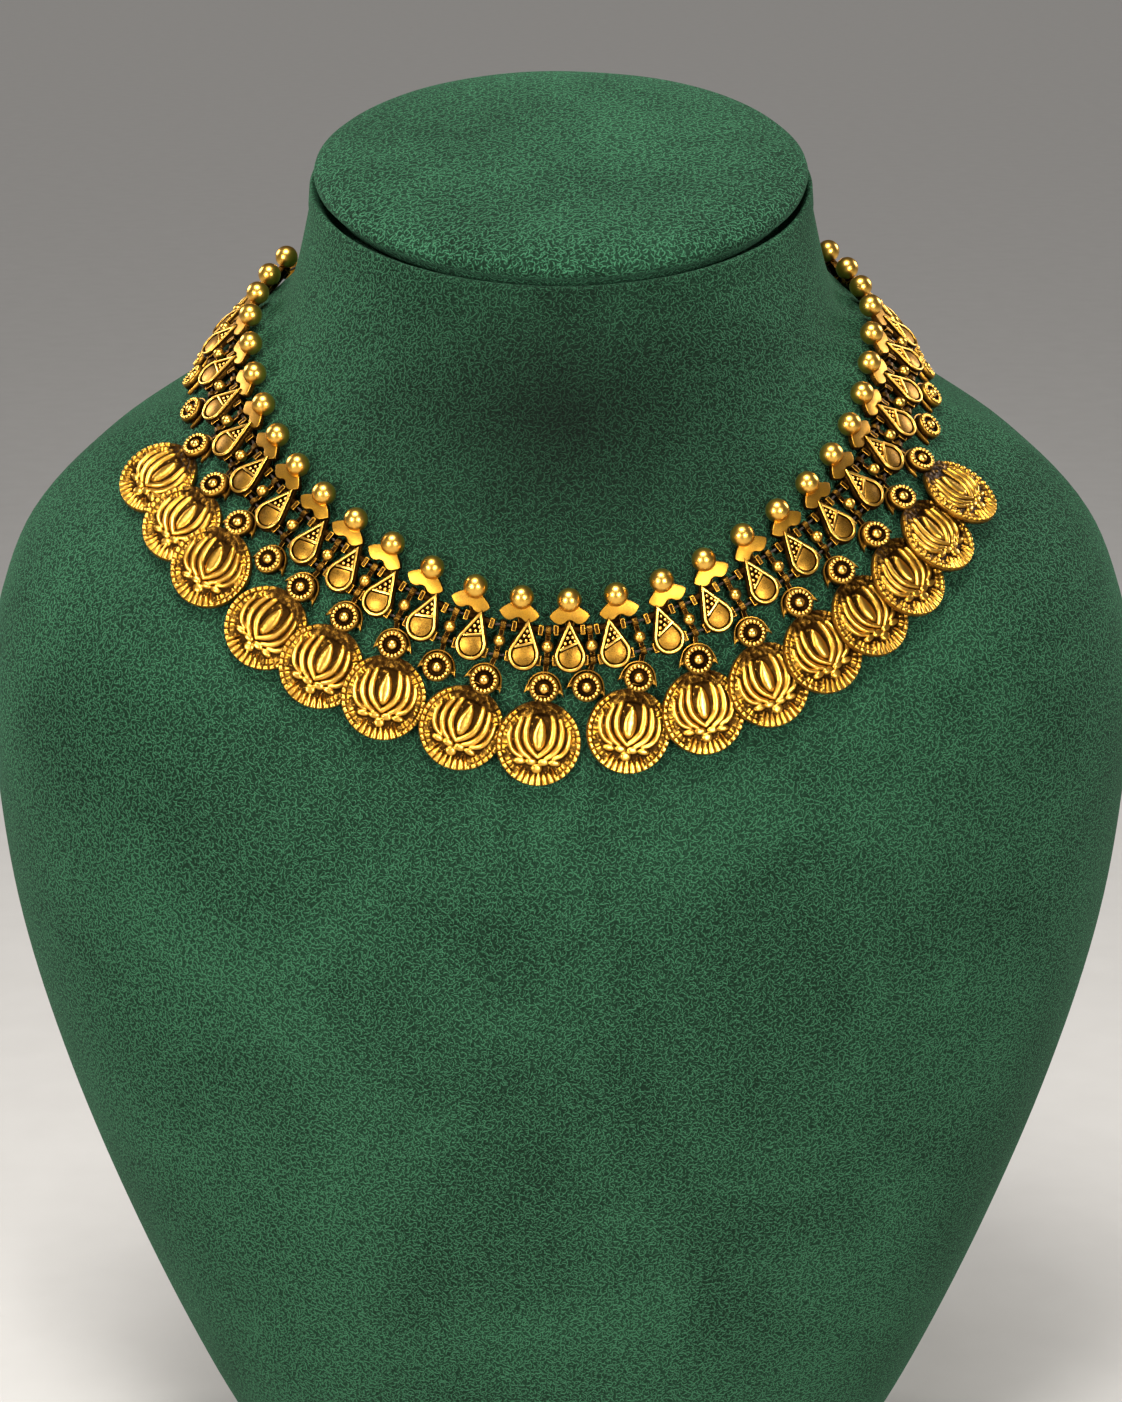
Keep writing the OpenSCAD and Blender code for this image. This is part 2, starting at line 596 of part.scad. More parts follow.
module chain(way) {
    table = chain_table(way);
    total = table[chain_samples][0];
    steps = 2 * ceil(total / (2 * ring_pitch));
    color("darkkhaki")
    for (j = [1:steps - 1])
        multmatrix(chain_frame(lookup(total * j / steps, table)))
        rotate([j % 2 == 1 ? 90 : 0, 0, 0]) ring();
}

module chain_left() { chain(-1); }
module chain_right() { chain(1); }

// One plain piece that joins the two chains: an eye at each end of a bar
module clasp() {
    half = clasp_l / 2 - ring_r;
    color("darkkhaki") {
        for (way = [-1, 1]) multmatrix(chain_frame(chain_end(way))) ring();
        multmatrix(chain_frame(course_len / 2))
        translate([-half, -wire_dia / 2, -wire_dia / 2]) cube([2 * half, wire_dia, wire_dia]);
    }
}

bust_body();
bust_cap();
for (i = [1:link_count]) link(i);
for (i = [1:len(coin_hang)]) coin_drop(i);
rosette_drops();
thread_upper();
thread_lower();
end_bar_left();
end_bar_right();
chain_left();
chain_right();
clasp();
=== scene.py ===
from math import asin, atan2, copysign, cos, degrees, exp, floor, hypot, pi, radians, sin

import bmesh
import bpy
from mathutils import Matrix, Vector, noise


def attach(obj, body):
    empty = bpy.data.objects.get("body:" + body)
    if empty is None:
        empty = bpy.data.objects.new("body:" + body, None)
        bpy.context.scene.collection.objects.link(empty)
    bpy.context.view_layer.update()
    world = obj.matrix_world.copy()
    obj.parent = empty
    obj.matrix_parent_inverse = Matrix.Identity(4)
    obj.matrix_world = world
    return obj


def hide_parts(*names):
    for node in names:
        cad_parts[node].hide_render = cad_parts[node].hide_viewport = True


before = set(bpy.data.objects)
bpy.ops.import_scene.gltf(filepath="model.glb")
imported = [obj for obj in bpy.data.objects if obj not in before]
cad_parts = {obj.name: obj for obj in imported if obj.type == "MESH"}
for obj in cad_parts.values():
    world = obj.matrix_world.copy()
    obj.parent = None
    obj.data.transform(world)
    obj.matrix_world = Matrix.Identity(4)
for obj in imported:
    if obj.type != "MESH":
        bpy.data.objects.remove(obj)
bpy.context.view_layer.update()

# Suede cloth: the bust is covered in dark green microfibre suede with a short curly nap.
# The nap's tips catch the light in small squiggles, brushed patches lie lighter or darker,
# and the cloth looks paler where it turns away, because there the nap is seen from the side.
nap_height, nap_relief = 0.0006, 0.75
# Half length, sharpness of the ends, bend and thickness of a tip, as shares of its cell
tip_half, tip_ends, tip_bend, tip_thick = 0.56, 5.0, 2.6, 1.25
# Share of the tips, the fuzz and the brushed patches in the shade, and how dark the painted shadow under the
# neck cap lies
tips_share, fuzz_share, patch_share, cap_shadow_strength = 0.5, 0.45, 0.4, 0.85


def set_values(node, **values):
    """Sets a node's sockets by name."""
    for name, value in values.items():
        node.inputs[name.replace("_", " ")].default_value = value


def nodes_of(tree, kind, links=(), props=(), **values):
    """Adds a node with its properties, values and links."""
    made = tree.nodes.new(kind)
    for name, value in props:
        setattr(made, name, value)
    set_values(made, **values)
    for name, source in links:
        tree.links.new(source, made.inputs[name])
    return made


def sum_of(tree, how, a, b=None):
    """Math on one or two sockets or numbers."""
    made = tree.nodes.new("ShaderNodeMath")
    made.operation = how
    for k, value in enumerate((a, b)):
        if isinstance(value, (int, float)):
            made.inputs[k].default_value = value
        elif value is not None:
            tree.links.new(value, made.inputs[k])
    return made.outputs[0]


def sum_with(how):
    """One kind of math, on two sockets or numbers."""
    return lambda tree, a, b: sum_of(tree, how, a, b)


times, plus, less = sum_with("MULTIPLY"), sum_with("ADD"), sum_with("SUBTRACT")


def vectors_of(tree, how, a, b=None, out="Vector"):
    """Vector math on two sockets or triples."""
    made = tree.nodes.new("ShaderNodeVectorMath")
    made.operation = how
    for k, value in enumerate((a, b)):
        if isinstance(value, (tuple, list)):
            made.inputs[k].default_value = value
        elif value is not None:
            tree.links.new(value, made.inputs[k])
    return made.outputs[out]


def ramp_of(tree, source, stops):
    """A colour ramp over a socket, from (position, colour) stops."""
    made = tree.nodes.new("ShaderNodeValToRGB")
    line = made.color_ramp
    while len(line.elements) < len(stops):
        line.elements.new(0.5)
    for stop, (place, shade) in zip(line.elements, stops):
        stop.position = place
        stop.color = (*shade, 1)
    tree.links.new(source, made.inputs["Fac"])
    return made.outputs["Color"]


def shared_effect(name, inputs, outputs):
    """A node group for an effect that materials share, with its two end nodes."""
    group = bpy.data.node_groups.new(name, "ShaderNodeTree")
    for socket, value in inputs:
        made = group.interface.new_socket(socket, in_out="INPUT", socket_type="NodeSocketFloat")
        made.default_value = value
    for socket, kind in outputs:
        group.interface.new_socket(socket, in_out="OUTPUT", socket_type=f"NodeSocket{kind}")
    return group, group.nodes.new("NodeGroupInput"), group.nodes.new("NodeGroupOutput")


def placed(tree, effect, **values):
    """Places a shared effect in a material, with the material's own values."""
    made = tree.nodes.new("ShaderNodeGroup")
    made.node_tree = effect
    set_values(made, **values)
    return made


def new_material(name):
    """A new material, with its tree and its shader."""
    made = bpy.data.materials.new(name)
    made.use_nodes = True
    return made, made.node_tree, made.node_tree.nodes["Principled BSDF"]


def raised(tree, shader, height, strength, distance):
    """Leads a height through a bump to the shader's normal."""
    bump = nodes_of(tree, "ShaderNodeBump", [("Height", height)], Strength=strength, Distance=distance)
    tree.links.new(bump.outputs["Normal"], shader.inputs["Normal"])


def on_object(tree):
    """Where a point lies on its object."""
    return tree.nodes.new("ShaderNodeTexCoord").outputs["Object"]


nap, nap_in, nap_out = shared_effect("suede nap", [("Curl", 900.0), ("Patch", 26.0)],
                                     [("Tips", "Float"), ("Brushed", "Float")])
on_cloth = on_object(nap)
lying = nap.nodes.new("ShaderNodeNewGeometry").outputs["Normal"]


def curled_tips(share, shift, thin):
    """Short curved tips of the nap, one to a cell, each lying in the surface its own way."""
    size = times(nap, nap_in.outputs["Curl"], share)
    spread = nap.nodes.new("ShaderNodeCombineXYZ")
    for axis in range(3):
        nap.links.new(size, spread.inputs[axis])
    spot = vectors_of(nap, "MULTIPLY", vectors_of(nap, "ADD", on_cloth, shift), spread.outputs[0])
    tip_cell = nodes_of(nap, "ShaderNodeTexVoronoi", [("Vector", spot)], Scale=1.0, Randomness=1.0)
    off = vectors_of(nap, "SUBTRACT", spot, tip_cell.outputs["Position"])
    pick = vectors_of(nap, "SUBTRACT", tip_cell.outputs["Color"], (0.5, 0.5, 0.5))
    long_way = vectors_of(nap, "NORMALIZE", vectors_of(nap, "CROSS_PRODUCT", lying, pick))
    side_way = vectors_of(nap, "CROSS_PRODUCT", lying, long_way)
    x = vectors_of(nap, "DOT_PRODUCT", off, long_way, "Value")
    y = vectors_of(nap, "DOT_PRODUCT", off, side_way, "Value")
    bend = vectors_of(nap, "DOT_PRODUCT", pick, (tip_bend, tip_bend, 0), "Value")
    bow = times(nap, bend, times(nap, x, x))
    beside = sum_of(nap, "ABSOLUTE", less(nap, y, bow))
    body = less(nap, tip_thick, times(nap, beside, thin))
    left_over = less(nap, tip_half, sum_of(nap, "ABSOLUTE", x))
    tip = sum_of(nap, "MINIMUM", body, times(nap, left_over, tip_ends))
    return sum_of(nap, "MAXIMUM", sum_of(nap, "MINIMUM", tip, 1.0), 0.0)


# a second, finer set of tips shows between the first, and a fine fuzz under both
finer_tips = times(nap, curled_tips(1.3, (0.31, 0.17, 0.07), 7.0), 0.75)
tip_line = sum_of(nap, "MAXIMUM", curled_tips(1.0, (0, 0, 0), 8.0), finer_tips)
fuzz_size = times(nap, nap_in.outputs["Curl"], 1.6)
fuzz = nodes_of(nap, "ShaderNodeTexNoise", [("Vector", on_cloth), ("Scale", fuzz_size)],
                Detail=2.0, Roughness=0.65)
tips = plus(nap, times(nap, tip_line, tips_share), times(nap, fuzz.outputs["Fac"], fuzz_share))
patches = nodes_of(nap, "ShaderNodeTexNoise", [("Vector", on_cloth), ("Scale", nap_in.outputs["Patch"])],
                   Detail=4.0, Roughness=0.62, Distortion=0.6)
nap.links.new(tips, nap_out.inputs["Tips"])
nap.links.new(patches.outputs["Fac"], nap_out.inputs["Brushed"])


def suede(name, curl, patch, deep, light, cap_shadow_spot=None):
    """The cloth in its deep and light greens, with the fineness of its tips and patches, and a painted
    shadow where one is given.
    """
    cloth, tree, shader = new_material(name)
    pile = placed(tree, nap, Curl=curl, Patch=patch)
    lie = times(tree, less(tree, pile.outputs["Brushed"], 0.5), patch_share)
    shade = plus(tree, pile.outputs["Tips"], lie)
    half_deep = [a * 0.7 + b * 0.2 for a, b in zip(deep, light)]
    colour = ramp_of(tree, shade, [(0.14, deep), (0.36, half_deep), (0.74, light)])
    if cap_shadow_spot:
        # a painted shadow, darkest at its middle and fading out round it: its middle and its size
        middle, size = cap_shadow_spot
        spot = nodes_of(tree, "ShaderNodeMapping", [("Vector", on_object(tree))],
                        Location=[-a / b for a, b in zip(middle, size)], Scale=[1 / b for b in size])
        shade_falloff = nodes_of(tree, "ShaderNodeTexGradient", [("Vector", spot.outputs["Vector"])],
                          [("gradient_type", "SPHERICAL")])
        kept_light = less(tree, 1.0, times(tree, shade_falloff.outputs["Fac"], cap_shadow_strength))
        colour = nodes_of(tree, "ShaderNodeVectorMath", [("Vector", colour), ("Scale", kept_light)],
                          [("operation", "SCALE")]).outputs["Vector"]
    tree.links.new(colour, shader.inputs["Base Color"])
    raised(tree, shader, pile.outputs["Tips"], nap_relief, nap_height)
    set_values(shader, Roughness=0.95, Specular_IOR_Level=0.12, Sheen_Weight=0.1,
               Sheen_Roughness=0.4, Sheen_Tint=(0.3, 0.85, 0.5, 1))
    return cloth


# the bust suede carries a painted shadow on the front of the neck, just under the cap, where the cap shades
# it
bust_suede = suede("bust suede", 980, 26, (0.0022, 0.0115, 0.005), (0.034, 0.128, 0.063),
                   ((0, -0.055, 0.243), (0.062, 0.07, 0.05)))
cap_suede = suede("cap suede", 800, 30, (0.0016, 0.009, 0.0038), (0.04, 0.152, 0.077))

# Bust body: one moulded shell of neck, shoulders and chest, cut flat at the foot and covered
# in a single piece of the suede. The cloth turns over the neck rim in a soft roll, and is
# glued down in the crease under the cap.
bust_h, bust_w, bust_d = 295, 233, 137
bust_round, steps_a_row, foot_tuck = 176, 8, 0.985
# Height front, side, back; depth front, side, back; half width; roundness of the outline
bust_rows = [
    (0, 0, 0, -0.33, -0.01, 0.33, 0.52, 2.2),
    (0.10, 0.10, 0.10, -0.415, -0.02, 0.37, 0.655, 2.2),
    (0.22, 0.22, 0.22, -0.48, -0.035, 0.415, 0.785, 2.2),
    (0.34, 0.34, 0.34, -0.52, -0.045, 0.44, 0.893, 2.2),
    (0.45, 0.45, 0.45, -0.54, -0.05, 0.453, 0.966, 2.2),
    (0.55, 0.55, 0.55, -0.54, -0.065, 0.46, 0.996, 2.2),
    (0.62, 0.635, 0.645, -0.526, -0.08, 0.46, 1, 2.2),
    (0.654, 0.725, 0.736, -0.51, -0.088, 0.445, 0.929, 2.2),
    (0.69, 0.778, 0.81, -0.493, -0.084, 0.423, 0.80, 2.1),
    (0.722, 0.81, 0.865, -0.484, -0.082, 0.4, 0.648, 2.05),
    (0.757, 0.854, 0.905, -0.465, -0.07, 0.372, 0.543, 2),
    (0.813, 0.878, 0.946, -0.405, -0.036, 0.343, 0.472, 2),
    (0.898, 0.95, 1, -0.328, -0.007, 0.306, 0.425, 2),
]
bust_top = len(bust_rows) - 1


def smooth(rows, x):
    """Smooth curve through the rows of a table."""
    last = len(rows) - 1
    i = max(0, min(int(floor(x)), last - 1))
    t = x - i
    b, c = rows[i], rows[i + 1]
    a = rows[i - 1] if i > 0 else [2 * p - q for p, q in zip(b, c)]
    d = rows[i + 2] if i < last - 1 else [2 * q - p for p, q in zip(b, c)]
    return [q + t / 2 * (r - p + t * (2 * p - 5 * q + 4 * r - s + t * (3 * (q - r) + s - p)))
            for p, q, r, s in zip(a, b, c, d)]


def on_bust(turn, level):
    """Point of the bust at an angle round it, 0 in front and 90 at its left arm."""
    row = smooth(bust_rows, level)
    c, s, power = cos(radians(turn)), sin(radians(turn)), 2 / row[7]
    q, far = abs(c) ** power, 0 if c > 0 else 2
    return Vector((bust_w / 2 * row[6] * copysign(abs(s) ** power, s),
                   bust_d * (row[4] + (row[3 + far] - row[4]) * q),
                   bust_h * (row[1] + (row[far] - row[1]) * q)))


rim_mid = (on_bust(0, bust_top) + on_bust(180, bust_top)) / 2
rim_up = Vector((1, 0, 0)).cross(on_bust(180, bust_top) - on_bust(0, bust_top)).normalized()


def rim_point(turn, share, rise):
    """Point over the neck rim, at a share of its radius and a height."""
    return rim_mid + share * (on_bust(turn, bust_top) - rim_mid) + rise * rim_up


def raise_ring(form, edges, place, layer):
    """Draws the open edge of a form out to new places, by the angle kept in a layer."""
    grown = bmesh.ops.extrude_edge_only(form, edges=edges)["geom"]
    for v in grown:
        if isinstance(v, bmesh.types.BMVert):
            v.co = place(v[layer])
    return [e for e in grown if isinstance(e, bmesh.types.BMEdge) and e.is_boundary]


def ring_form(points, places):
    """A skin drawn up from one circle through a list of places, closed at both ends."""
    form = bmesh.new()
    layer = form.verts.layers.float.new("round")
    for v in bmesh.ops.create_circle(form, segments=points, radius=1)["verts"]:
        v[layer] = degrees(atan2(v.co.x, -v.co.y))
    edges = list(form.edges)
    for v in form.verts:
        v.co = places[0](v[layer])
    for place in places[1:]:
        edges = raise_ring(form, edges, place, layer)
    bmesh.ops.holes_fill(form, edges=[e for e in form.edges if e.is_boundary])
    bmesh.ops.recalc_face_normals(form, faces=form.faces)
    form.verts.layers.float.remove(layer)
    return form


metres = Matrix.Scale(0.001, 4)


def meshed(form):
    """Turns a form into a mesh."""
    mesh = bpy.data.meshes.new("part")
    form.to_mesh(mesh)
    form.free()
    return mesh


def in_scene(name, data):
    """Puts a mesh, a light or the camera in the scene."""
    made = bpy.data.objects.new(name, data)
    bpy.context.scene.collection.objects.link(made)
    return made


def shown(mesh, name, material, slot, *nodes):
    """Makes a mesh in millimetres a piece that stands for the named solids."""
    mesh.transform(metres)
    mesh.name = name
    mesh.materials.append(material)
    piece = in_scene(name, mesh)
    for face in mesh.polygons:
        face.use_smooth = True
    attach(piece, "root")
    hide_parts(*nodes)
    return piece


def skin_at(level):
    """Place on the skin at a level."""
    return lambda turn: on_bust(turn, level)


def swell(turn):
    """How far the roll stands out, most in front."""
    return 0.6 + 0.4 * cos(radians(turn))


def roll_at(level, out):
    """Place on the neck just under the rim, pushed out by the roll of the cloth."""
    def place(turn):
        p = on_bust(turn, level)
        away = p - rim_mid
        return p + out * swell(turn) * (away - away.dot(rim_up) * rim_up).normalized()
    return place


def rim_at(share, rise):
    """Place over the rim, as a share of its radius. Past it, it swells as the roll does."""
    return lambda turn: rim_point(turn, 1 + (share - 1) * swell(turn) if share > 1 else share, rise)


# Level under the rim and how far the roll stands out there
roll_rows = [(11.8, 0.05), (11.85, 0.35), (11.9, 0.85), (11.95, 1.15)]
# Share of the rim's radius and height over it, from the roll down into the crease
rim_rows = [(1.028, 0.4), (1.027, 1.0), (1.018, 1.45), (1.005, 1.45), (0.993, 0.9), (0.982, 0.1),
            (0.965, -0.8), (0.93, -1.2), (0.5, -1.2)]
foot_places = [lambda turn: on_bust(turn, 0) * foot_tuck, skin_at(0.035)]
rise_places = [skin_at(k / steps_a_row) for k in range(1, bust_top * steps_a_row - 2)]
roll_places = [roll_at(*row) for row in roll_rows] + [rim_at(*row) for row in rim_rows]
bust_form = ring_form(bust_round, foot_places + rise_places + roll_places)
shown(meshed(bust_form), "suede_bust", bust_suede, "bust_suede", "bust_body")

# Neck cap: a thin foam pad on the slanted top of the neck, in its own oval of suede. The edge
# is drawn down tight into the crease, so the pad swells a little past the rim and rounds over
# to a top that is almost flat, with slight dents where the foam gives.
cap_round, dent_depth, closed_up = 132, 0.35, 0.008
# Share of the rim's radius and height over it, from the crease to the middle of the top
cap_rows = [(0.6, -0.4), (0.935, -0.4), (0.941, 0.5), (0.949, 1.2), (0.964, 1.8), (0.981, 2.4), (0.993, 3.1),
            (0.997, 3.9), (0.991, 4.7), (0.975, 5.4), (0.952, 6.05), (0.92, 6.6), (0.875, 7.1), (0.82, 7.5),
            (0.75, 7.85), (0.68, 8.1), (0.6, 8.3), (0.5, 8.5), (0.4, 8.65), (0.3, 8.8), (0.2, 8.9),
            (0.1, 8.97), (0.03, 9.0)]


def cap_at(share, rise):
    """Place on the pad, with the dents of its top."""
    def place(turn):
        # the pad sits closest to the rim at its left, where the crease almost closes
        closed = closed_up * (0.5 - 0.5 * cos(radians(turn + 50))) if 0 < rise < 3 else 0
        p = rim_point(turn, share + closed, rise)
        if rise > 3:
            p = p + rim_up * dent_depth * noise.noise(p * 0.045) * min(1, (rise - 3) / 3)
        return p
    return place


cap_form = ring_form(cap_round, [cap_at(*row) for row in cap_rows])
bust_cap = shown(meshed(cap_form), "padded_neck_cap", cap_suede, "cap_suede", "bust_cap")

# Antique gold: every metal piece is cast brass, plated and then dipped dark. The dip stays in
# the hollows, where the surface is brown and rough, the flat places are brushed to a satin,
# and what stands proud is polished bright. Each piece keeps how far it is worn bright.
grain_height, grain_relief = 0.00005, 0.35
# Colour and roughness from the dip in the hollows, over the satin, to the polish
dip_colours = [(0.0, (0.005, 0.0022, 0.0008)), (0.32, (0.036, 0.015, 0.0025)), (0.52, (0.36, 0.18, 0.024)),
               (0.72, (0.6, 0.29, 0.022)), (1.0, (0.97, 0.6, 0.135))]
dip_roughness = [(0.0, 0.6), (0.4, 0.47), (0.75, 0.33), (1.0, 0.26)]
patina, dip_in, dip_out = shared_effect(
    "antique patina", [("Worn", 0.7), ("Cloud", 420.0), ("Grit", 5200.0)],
    [("Colour", "Color"), ("Roughness", "Float"), ("Height", "Float")])
on_metal = on_object(patina)


def patchy(size, detail, roughness):
    """Patches over the piece, at one of the group's sizes."""
    return nodes_of(patina, "ShaderNodeTexNoise", [("Vector", on_metal), ("Scale", dip_in.outputs[size])],
                    Detail=detail, Roughness=roughness).outputs["Fac"]


def off_middle(patch, share):
    """How far a patch differs from the middle tone."""
    return times(patina, less(patina, patch, 0.5), share)


cloud, grit = patchy("Cloud", 3.0, 0.6), patchy("Grit", 2.0, 0.7)
uneven = plus(patina, off_middle(cloud, 0.7), off_middle(grit, 0.75))
# polished places are the least uneven
give = less(patina, 1.08, dip_in.outputs["Worn"])
bright = plus(patina, dip_in.outputs["Worn"], times(patina, uneven, give))
roughness = ramp_of(patina, bright, [(place, (value,) * 3) for place, value in dip_roughness])
pitting = times(patina, plus(patina, grit, cloud), give)
patina.links.new(ramp_of(patina, bright, dip_colours), dip_out.inputs["Colour"])
patina.links.new(roughness, dip_out.inputs["Roughness"])
patina.links.new(pitting, dip_out.inputs["Height"])


def antique(name, worn=None):
    """Plated brass, worn as its mesh says, or evenly."""
    metal, tree, shader = new_material(name)
    dip = placed(tree, patina)
    if worn is None:
        kept = nodes_of(tree, "ShaderNodeAttribute", props=[("attribute_name", "worn")])
        tree.links.new(kept.outputs["Fac"], dip.inputs["Worn"])
    else:
        set_values(dip, Worn=worn)
    tree.links.new(dip.outputs["Colour"], shader.inputs["Base Color"])
    tree.links.new(dip.outputs["Roughness"], shader.inputs["Roughness"])
    raised(tree, shader, dip.outputs["Height"], grain_relief, grain_height)
    set_values(shader, Metallic=1)
    return metal


link_gold = antique("link antique gold")
coin_gold = antique("coin antique gold")
chain_gold = antique("chain antique gold", worn=0.74)

# Teardrop links: each is one casting of a polished ball, a satin crescent with two lobes, and
# a teardrop cell with a bright rim wire, a slanted bar, seven granules and a satin pad. Two
# cross tubes with square ends behind the cell carry the threads. They lie on the bust side by
# side in a course round the neck, each with a small lean of its own.
link_count, pitch, hang_shift, gap = 31, 8.72, 1.5, 0.3
middle_link = (link_count + 1) / 2
ball_dia, crescent_w, crescent_h, crescent_t = 4.6, 7.6, 3.1, 1.1
tear_l, tear_w, tear_t, cell_lift, field_depth, tear_drop = 9.9, 5.9, 1.5, 1.15, 0.65, 8.6
# Slant of the bar across the cell, how much it changes from link to link, and its most change
bar_angle, bar_turn, bar_turn_most = 22, 0.9, 12
tube_end_l, tube_end_w, upper_drop, thread_gap = 0.9, 1.9, 5.6, 5.7
# Half width of the tubes' square bore at their ends, and radius of the round bore between
bore_half, bore_r = 0.55, 0.6
# Level of the course on the bust, at every 30 degrees from the front to the back
route_levels, route_step, course_steps = [8.74, 9.49, 10.01, 10.44, 10.63, 10.8, 10.9], 30, 240
# Link number from the middle, sideways shift of the ball and crescent, turn of the link
link_hang = [(-15, 0, 0), (-12, -0.4, 0), (-9, -2, 2), (-6, -3.9, 2), (-4, -3.5, -3), (-3, -3, -3),
             (-1, -1.9, -3), (0, 0.1, 0), (1, 2.3, 3), (3, 2.9, 3), (5, 1.7, 0), (8, 0.2, 0), (15, 0, 0)]
# Right half of the crescent's outline, from the notch at its foot round to its top
crescent_rows = [(0, -1.22), (0.07, -1.27), (0.14, -1.4), (0.21, -1.46), (0.29, -1.45), (0.38, -1.33),
                 (0.45, -1.16), (0.495, -1.0), (0.485, -0.9), (0.43, -0.74), (0.35, -0.59), (0.27, -0.45),
                 (0.16, -0.32), (0, -0.3)]
granule_rows = [(0.02, 0.5), (-0.13, 0.31), (0.2, 0.33), (-0.3, 0.1), (0.04, 0.14), (0.34, 0.19),
                (-0.42, -0.07)]
lower_drop = upper_drop + thread_gap
link_l = tear_drop + tear_l / 2
thread_z = tube_end_w / 2
upper_half, lower_half = tear_w / 2, tear_w / 2 + 0.45


def between(rows, x, column=1):
    """Straight-line reading of a table whose first column rises."""
    for low, high in zip(rows, rows[1:]):
        if x <= high[0]:
            break
    t = max(0, min(1, (x - low[0]) / (high[0] - low[0])))
    return low[column] + (high[column] - low[column]) * t


def step_up(low, high, x):
    """Soft step from 0 to 1 between two values."""
    t = max(0, min(1, (x - low) / (high - low)))
    return t * t * (3 - 2 * t)


def round_slope(turn, level):
    """How the skin runs round the bust, a degree at a time."""
    return (on_bust(turn + 0.05, level) - on_bust(turn - 0.05, level)) / 0.1


def rise_slope(turn, level):
    """How the skin runs up the bust, a level at a time."""
    return (on_bust(turn, level + 0.001) - on_bust(turn, level - 0.001)) / 0.002


def outward(spot):
    """Direction straight out of the skin."""
    return round_slope(*spot).cross(rise_slope(*spot)).normalized()


def walk(spot, way, left):
    """The spot reached by walking over the bust in a direction, for a length."""
    while left > 1e-9:
        a, b = round_slope(*spot), rise_slope(*spot)
        n = a.cross(b).normalized()
        way = (way - n * way.dot(n)).normalized()
        step = min(2, left)
        aa, bb, ab, aw, bw = a.dot(a), b.dot(b), a.dot(b), a.dot(way), b.dot(way)
        det = aa * bb - ab ** 2
        spot = (spot[0] + step / det * (bb * aw - ab * bw), spot[1] + step / det * (aa * bw - ab * aw))
        left -= step
    return spot


def route_at(turn):
    """The spot of the course at an angle round the bust."""
    padded = [route_levels[1], *route_levels, route_levels[-2]]
    return turn, smooth([(v,) for v in padded], 1 + abs(turn) / route_step)[0]


# Length walked along the course, with zero in front, and the angle round the bust there
course, length, before = [], 0, on_bust(*route_at(-180))
for k in range(course_steps + 1):
    turn = -180 + k * 360 / course_steps
    p = on_bust(*route_at(turn))
    length += (p - before).length
    before = p
    course.append((length, turn))
half_way = course[course_steps // 2][0]
course = [(s - half_way, turn) for s, turn in course]


def station(s):
    """The spot of the course at a length from the front."""
    return route_at(between(course, s))


def along(spot):
    """Direction of the course at a spot."""
    return (on_bust(*route_at(spot[0] + 0.1)) - on_bust(*route_at(spot[0] - 0.1))).normalized()


def carried(x, y, z, origin):
    """Matrix that carries a piece to an origin, with its own x, y and z directions."""
    made = Matrix((x, y, z)).transposed().to_4x4()
    made.translation = origin
    return made


# Points under a link, across, down and up from its ball, that have to clear the bust
hung_feet = [(0, -link_l / 2, 0), (-upper_half, -upper_drop, 0), (upper_half, -upper_drop, 0),
             (-lower_half, -lower_drop, 0), (lower_half, -lower_drop, 0),
             (0, ball_dia * 0.33, ball_dia * 0.12), (0, ball_dia * 0.45, ball_dia * 0.28)]


def ways_from(s, turn):
    """The spot at a station, and the ways across and down from it, turned by an angle."""
    spot = station(s)
    n = outward(spot)
    t = Matrix.Rotation(radians(turn), 3, n) @ along(spot)
    return spot, t, t.cross(n)


def hung_frame(s, reach, turn):
    """Where a piece lies that hangs on the bust from a station of the course."""
    spot, t, down = ways_from(s, turn)
    top, low = on_bust(*spot), on_bust(*walk(spot, down, reach))
    y = (top - low).normalized()
    z = t.cross(y).normalized()
    stands = [(on_bust(*walk(spot, a * t - b * down, hypot(a, b))) - top).dot(z) - c
              for a, b, c in hung_feet]
    return carried(y.cross(z), y, z, top + z * (gap + max(0, *stands)))


def lean(i, column):
    """A link's own shift or turn."""
    return between(link_hang, i - middle_link, column)


def link_station(i):
    """Length along the course at which a link hangs."""
    return (i - middle_link) * pitch + hang_shift - lean(i, 1)


link_frames = {i: hung_frame(link_station(i), link_l, lean(i, 2)) for i in range(1, link_count + 1)}


def worn_part(form, worn, sharp=40):
    """Closes a part's form into a mesh, with how far each point is worn bright."""
    bmesh.ops.recalc_face_normals(form, faces=form.faces)
    layer = form.verts.layers.float.new("worn")
    for v in form.verts:
        v[layer] = worn(v.co) if callable(worn) else worn
    mesh = meshed(form)
    for face in mesh.polygons:
        face.use_smooth = True
    mesh.set_sharp_from_angle(angle=radians(sharp))
    return mesh


def worn_above(height, bright, dull):
    """Worn bright above a height and dull below it."""
    return lambda p: bright if p.z > height else dull


def soldered(parts):
    """One mesh of several parts, each carried to its place."""
    form = bmesh.new()
    for part, place in parts:
        moved = part.copy()
        moved.transform(place)
        form.from_mesh(moved)
        bpy.data.meshes.remove(moved)
    return meshed(form)


def ball(radius, around, up, squash=(1, 1, 1)):
    """A ball, or one squashed to a bead."""
    form = bmesh.new()
    bmesh.ops.create_uvsphere(form, u_segments=around, v_segments=up, radius=radius)
    bmesh.ops.scale(form, vec=squash, verts=form.verts)
    return form


def block(size, soft, segments, chosen=lambda edge: True):
    """A block with softened edges, all of them or the chosen ones."""
    form = bmesh.new()
    bmesh.ops.create_cube(form, size=1)
    bmesh.ops.scale(form, vec=size, verts=form.verts)
    bmesh.ops.bevel(form, geom=[e for e in form.edges if chosen(e)], offset=soft, affect="EDGES",
                    segments=segments, profile=0.5, material=-1)
    return form


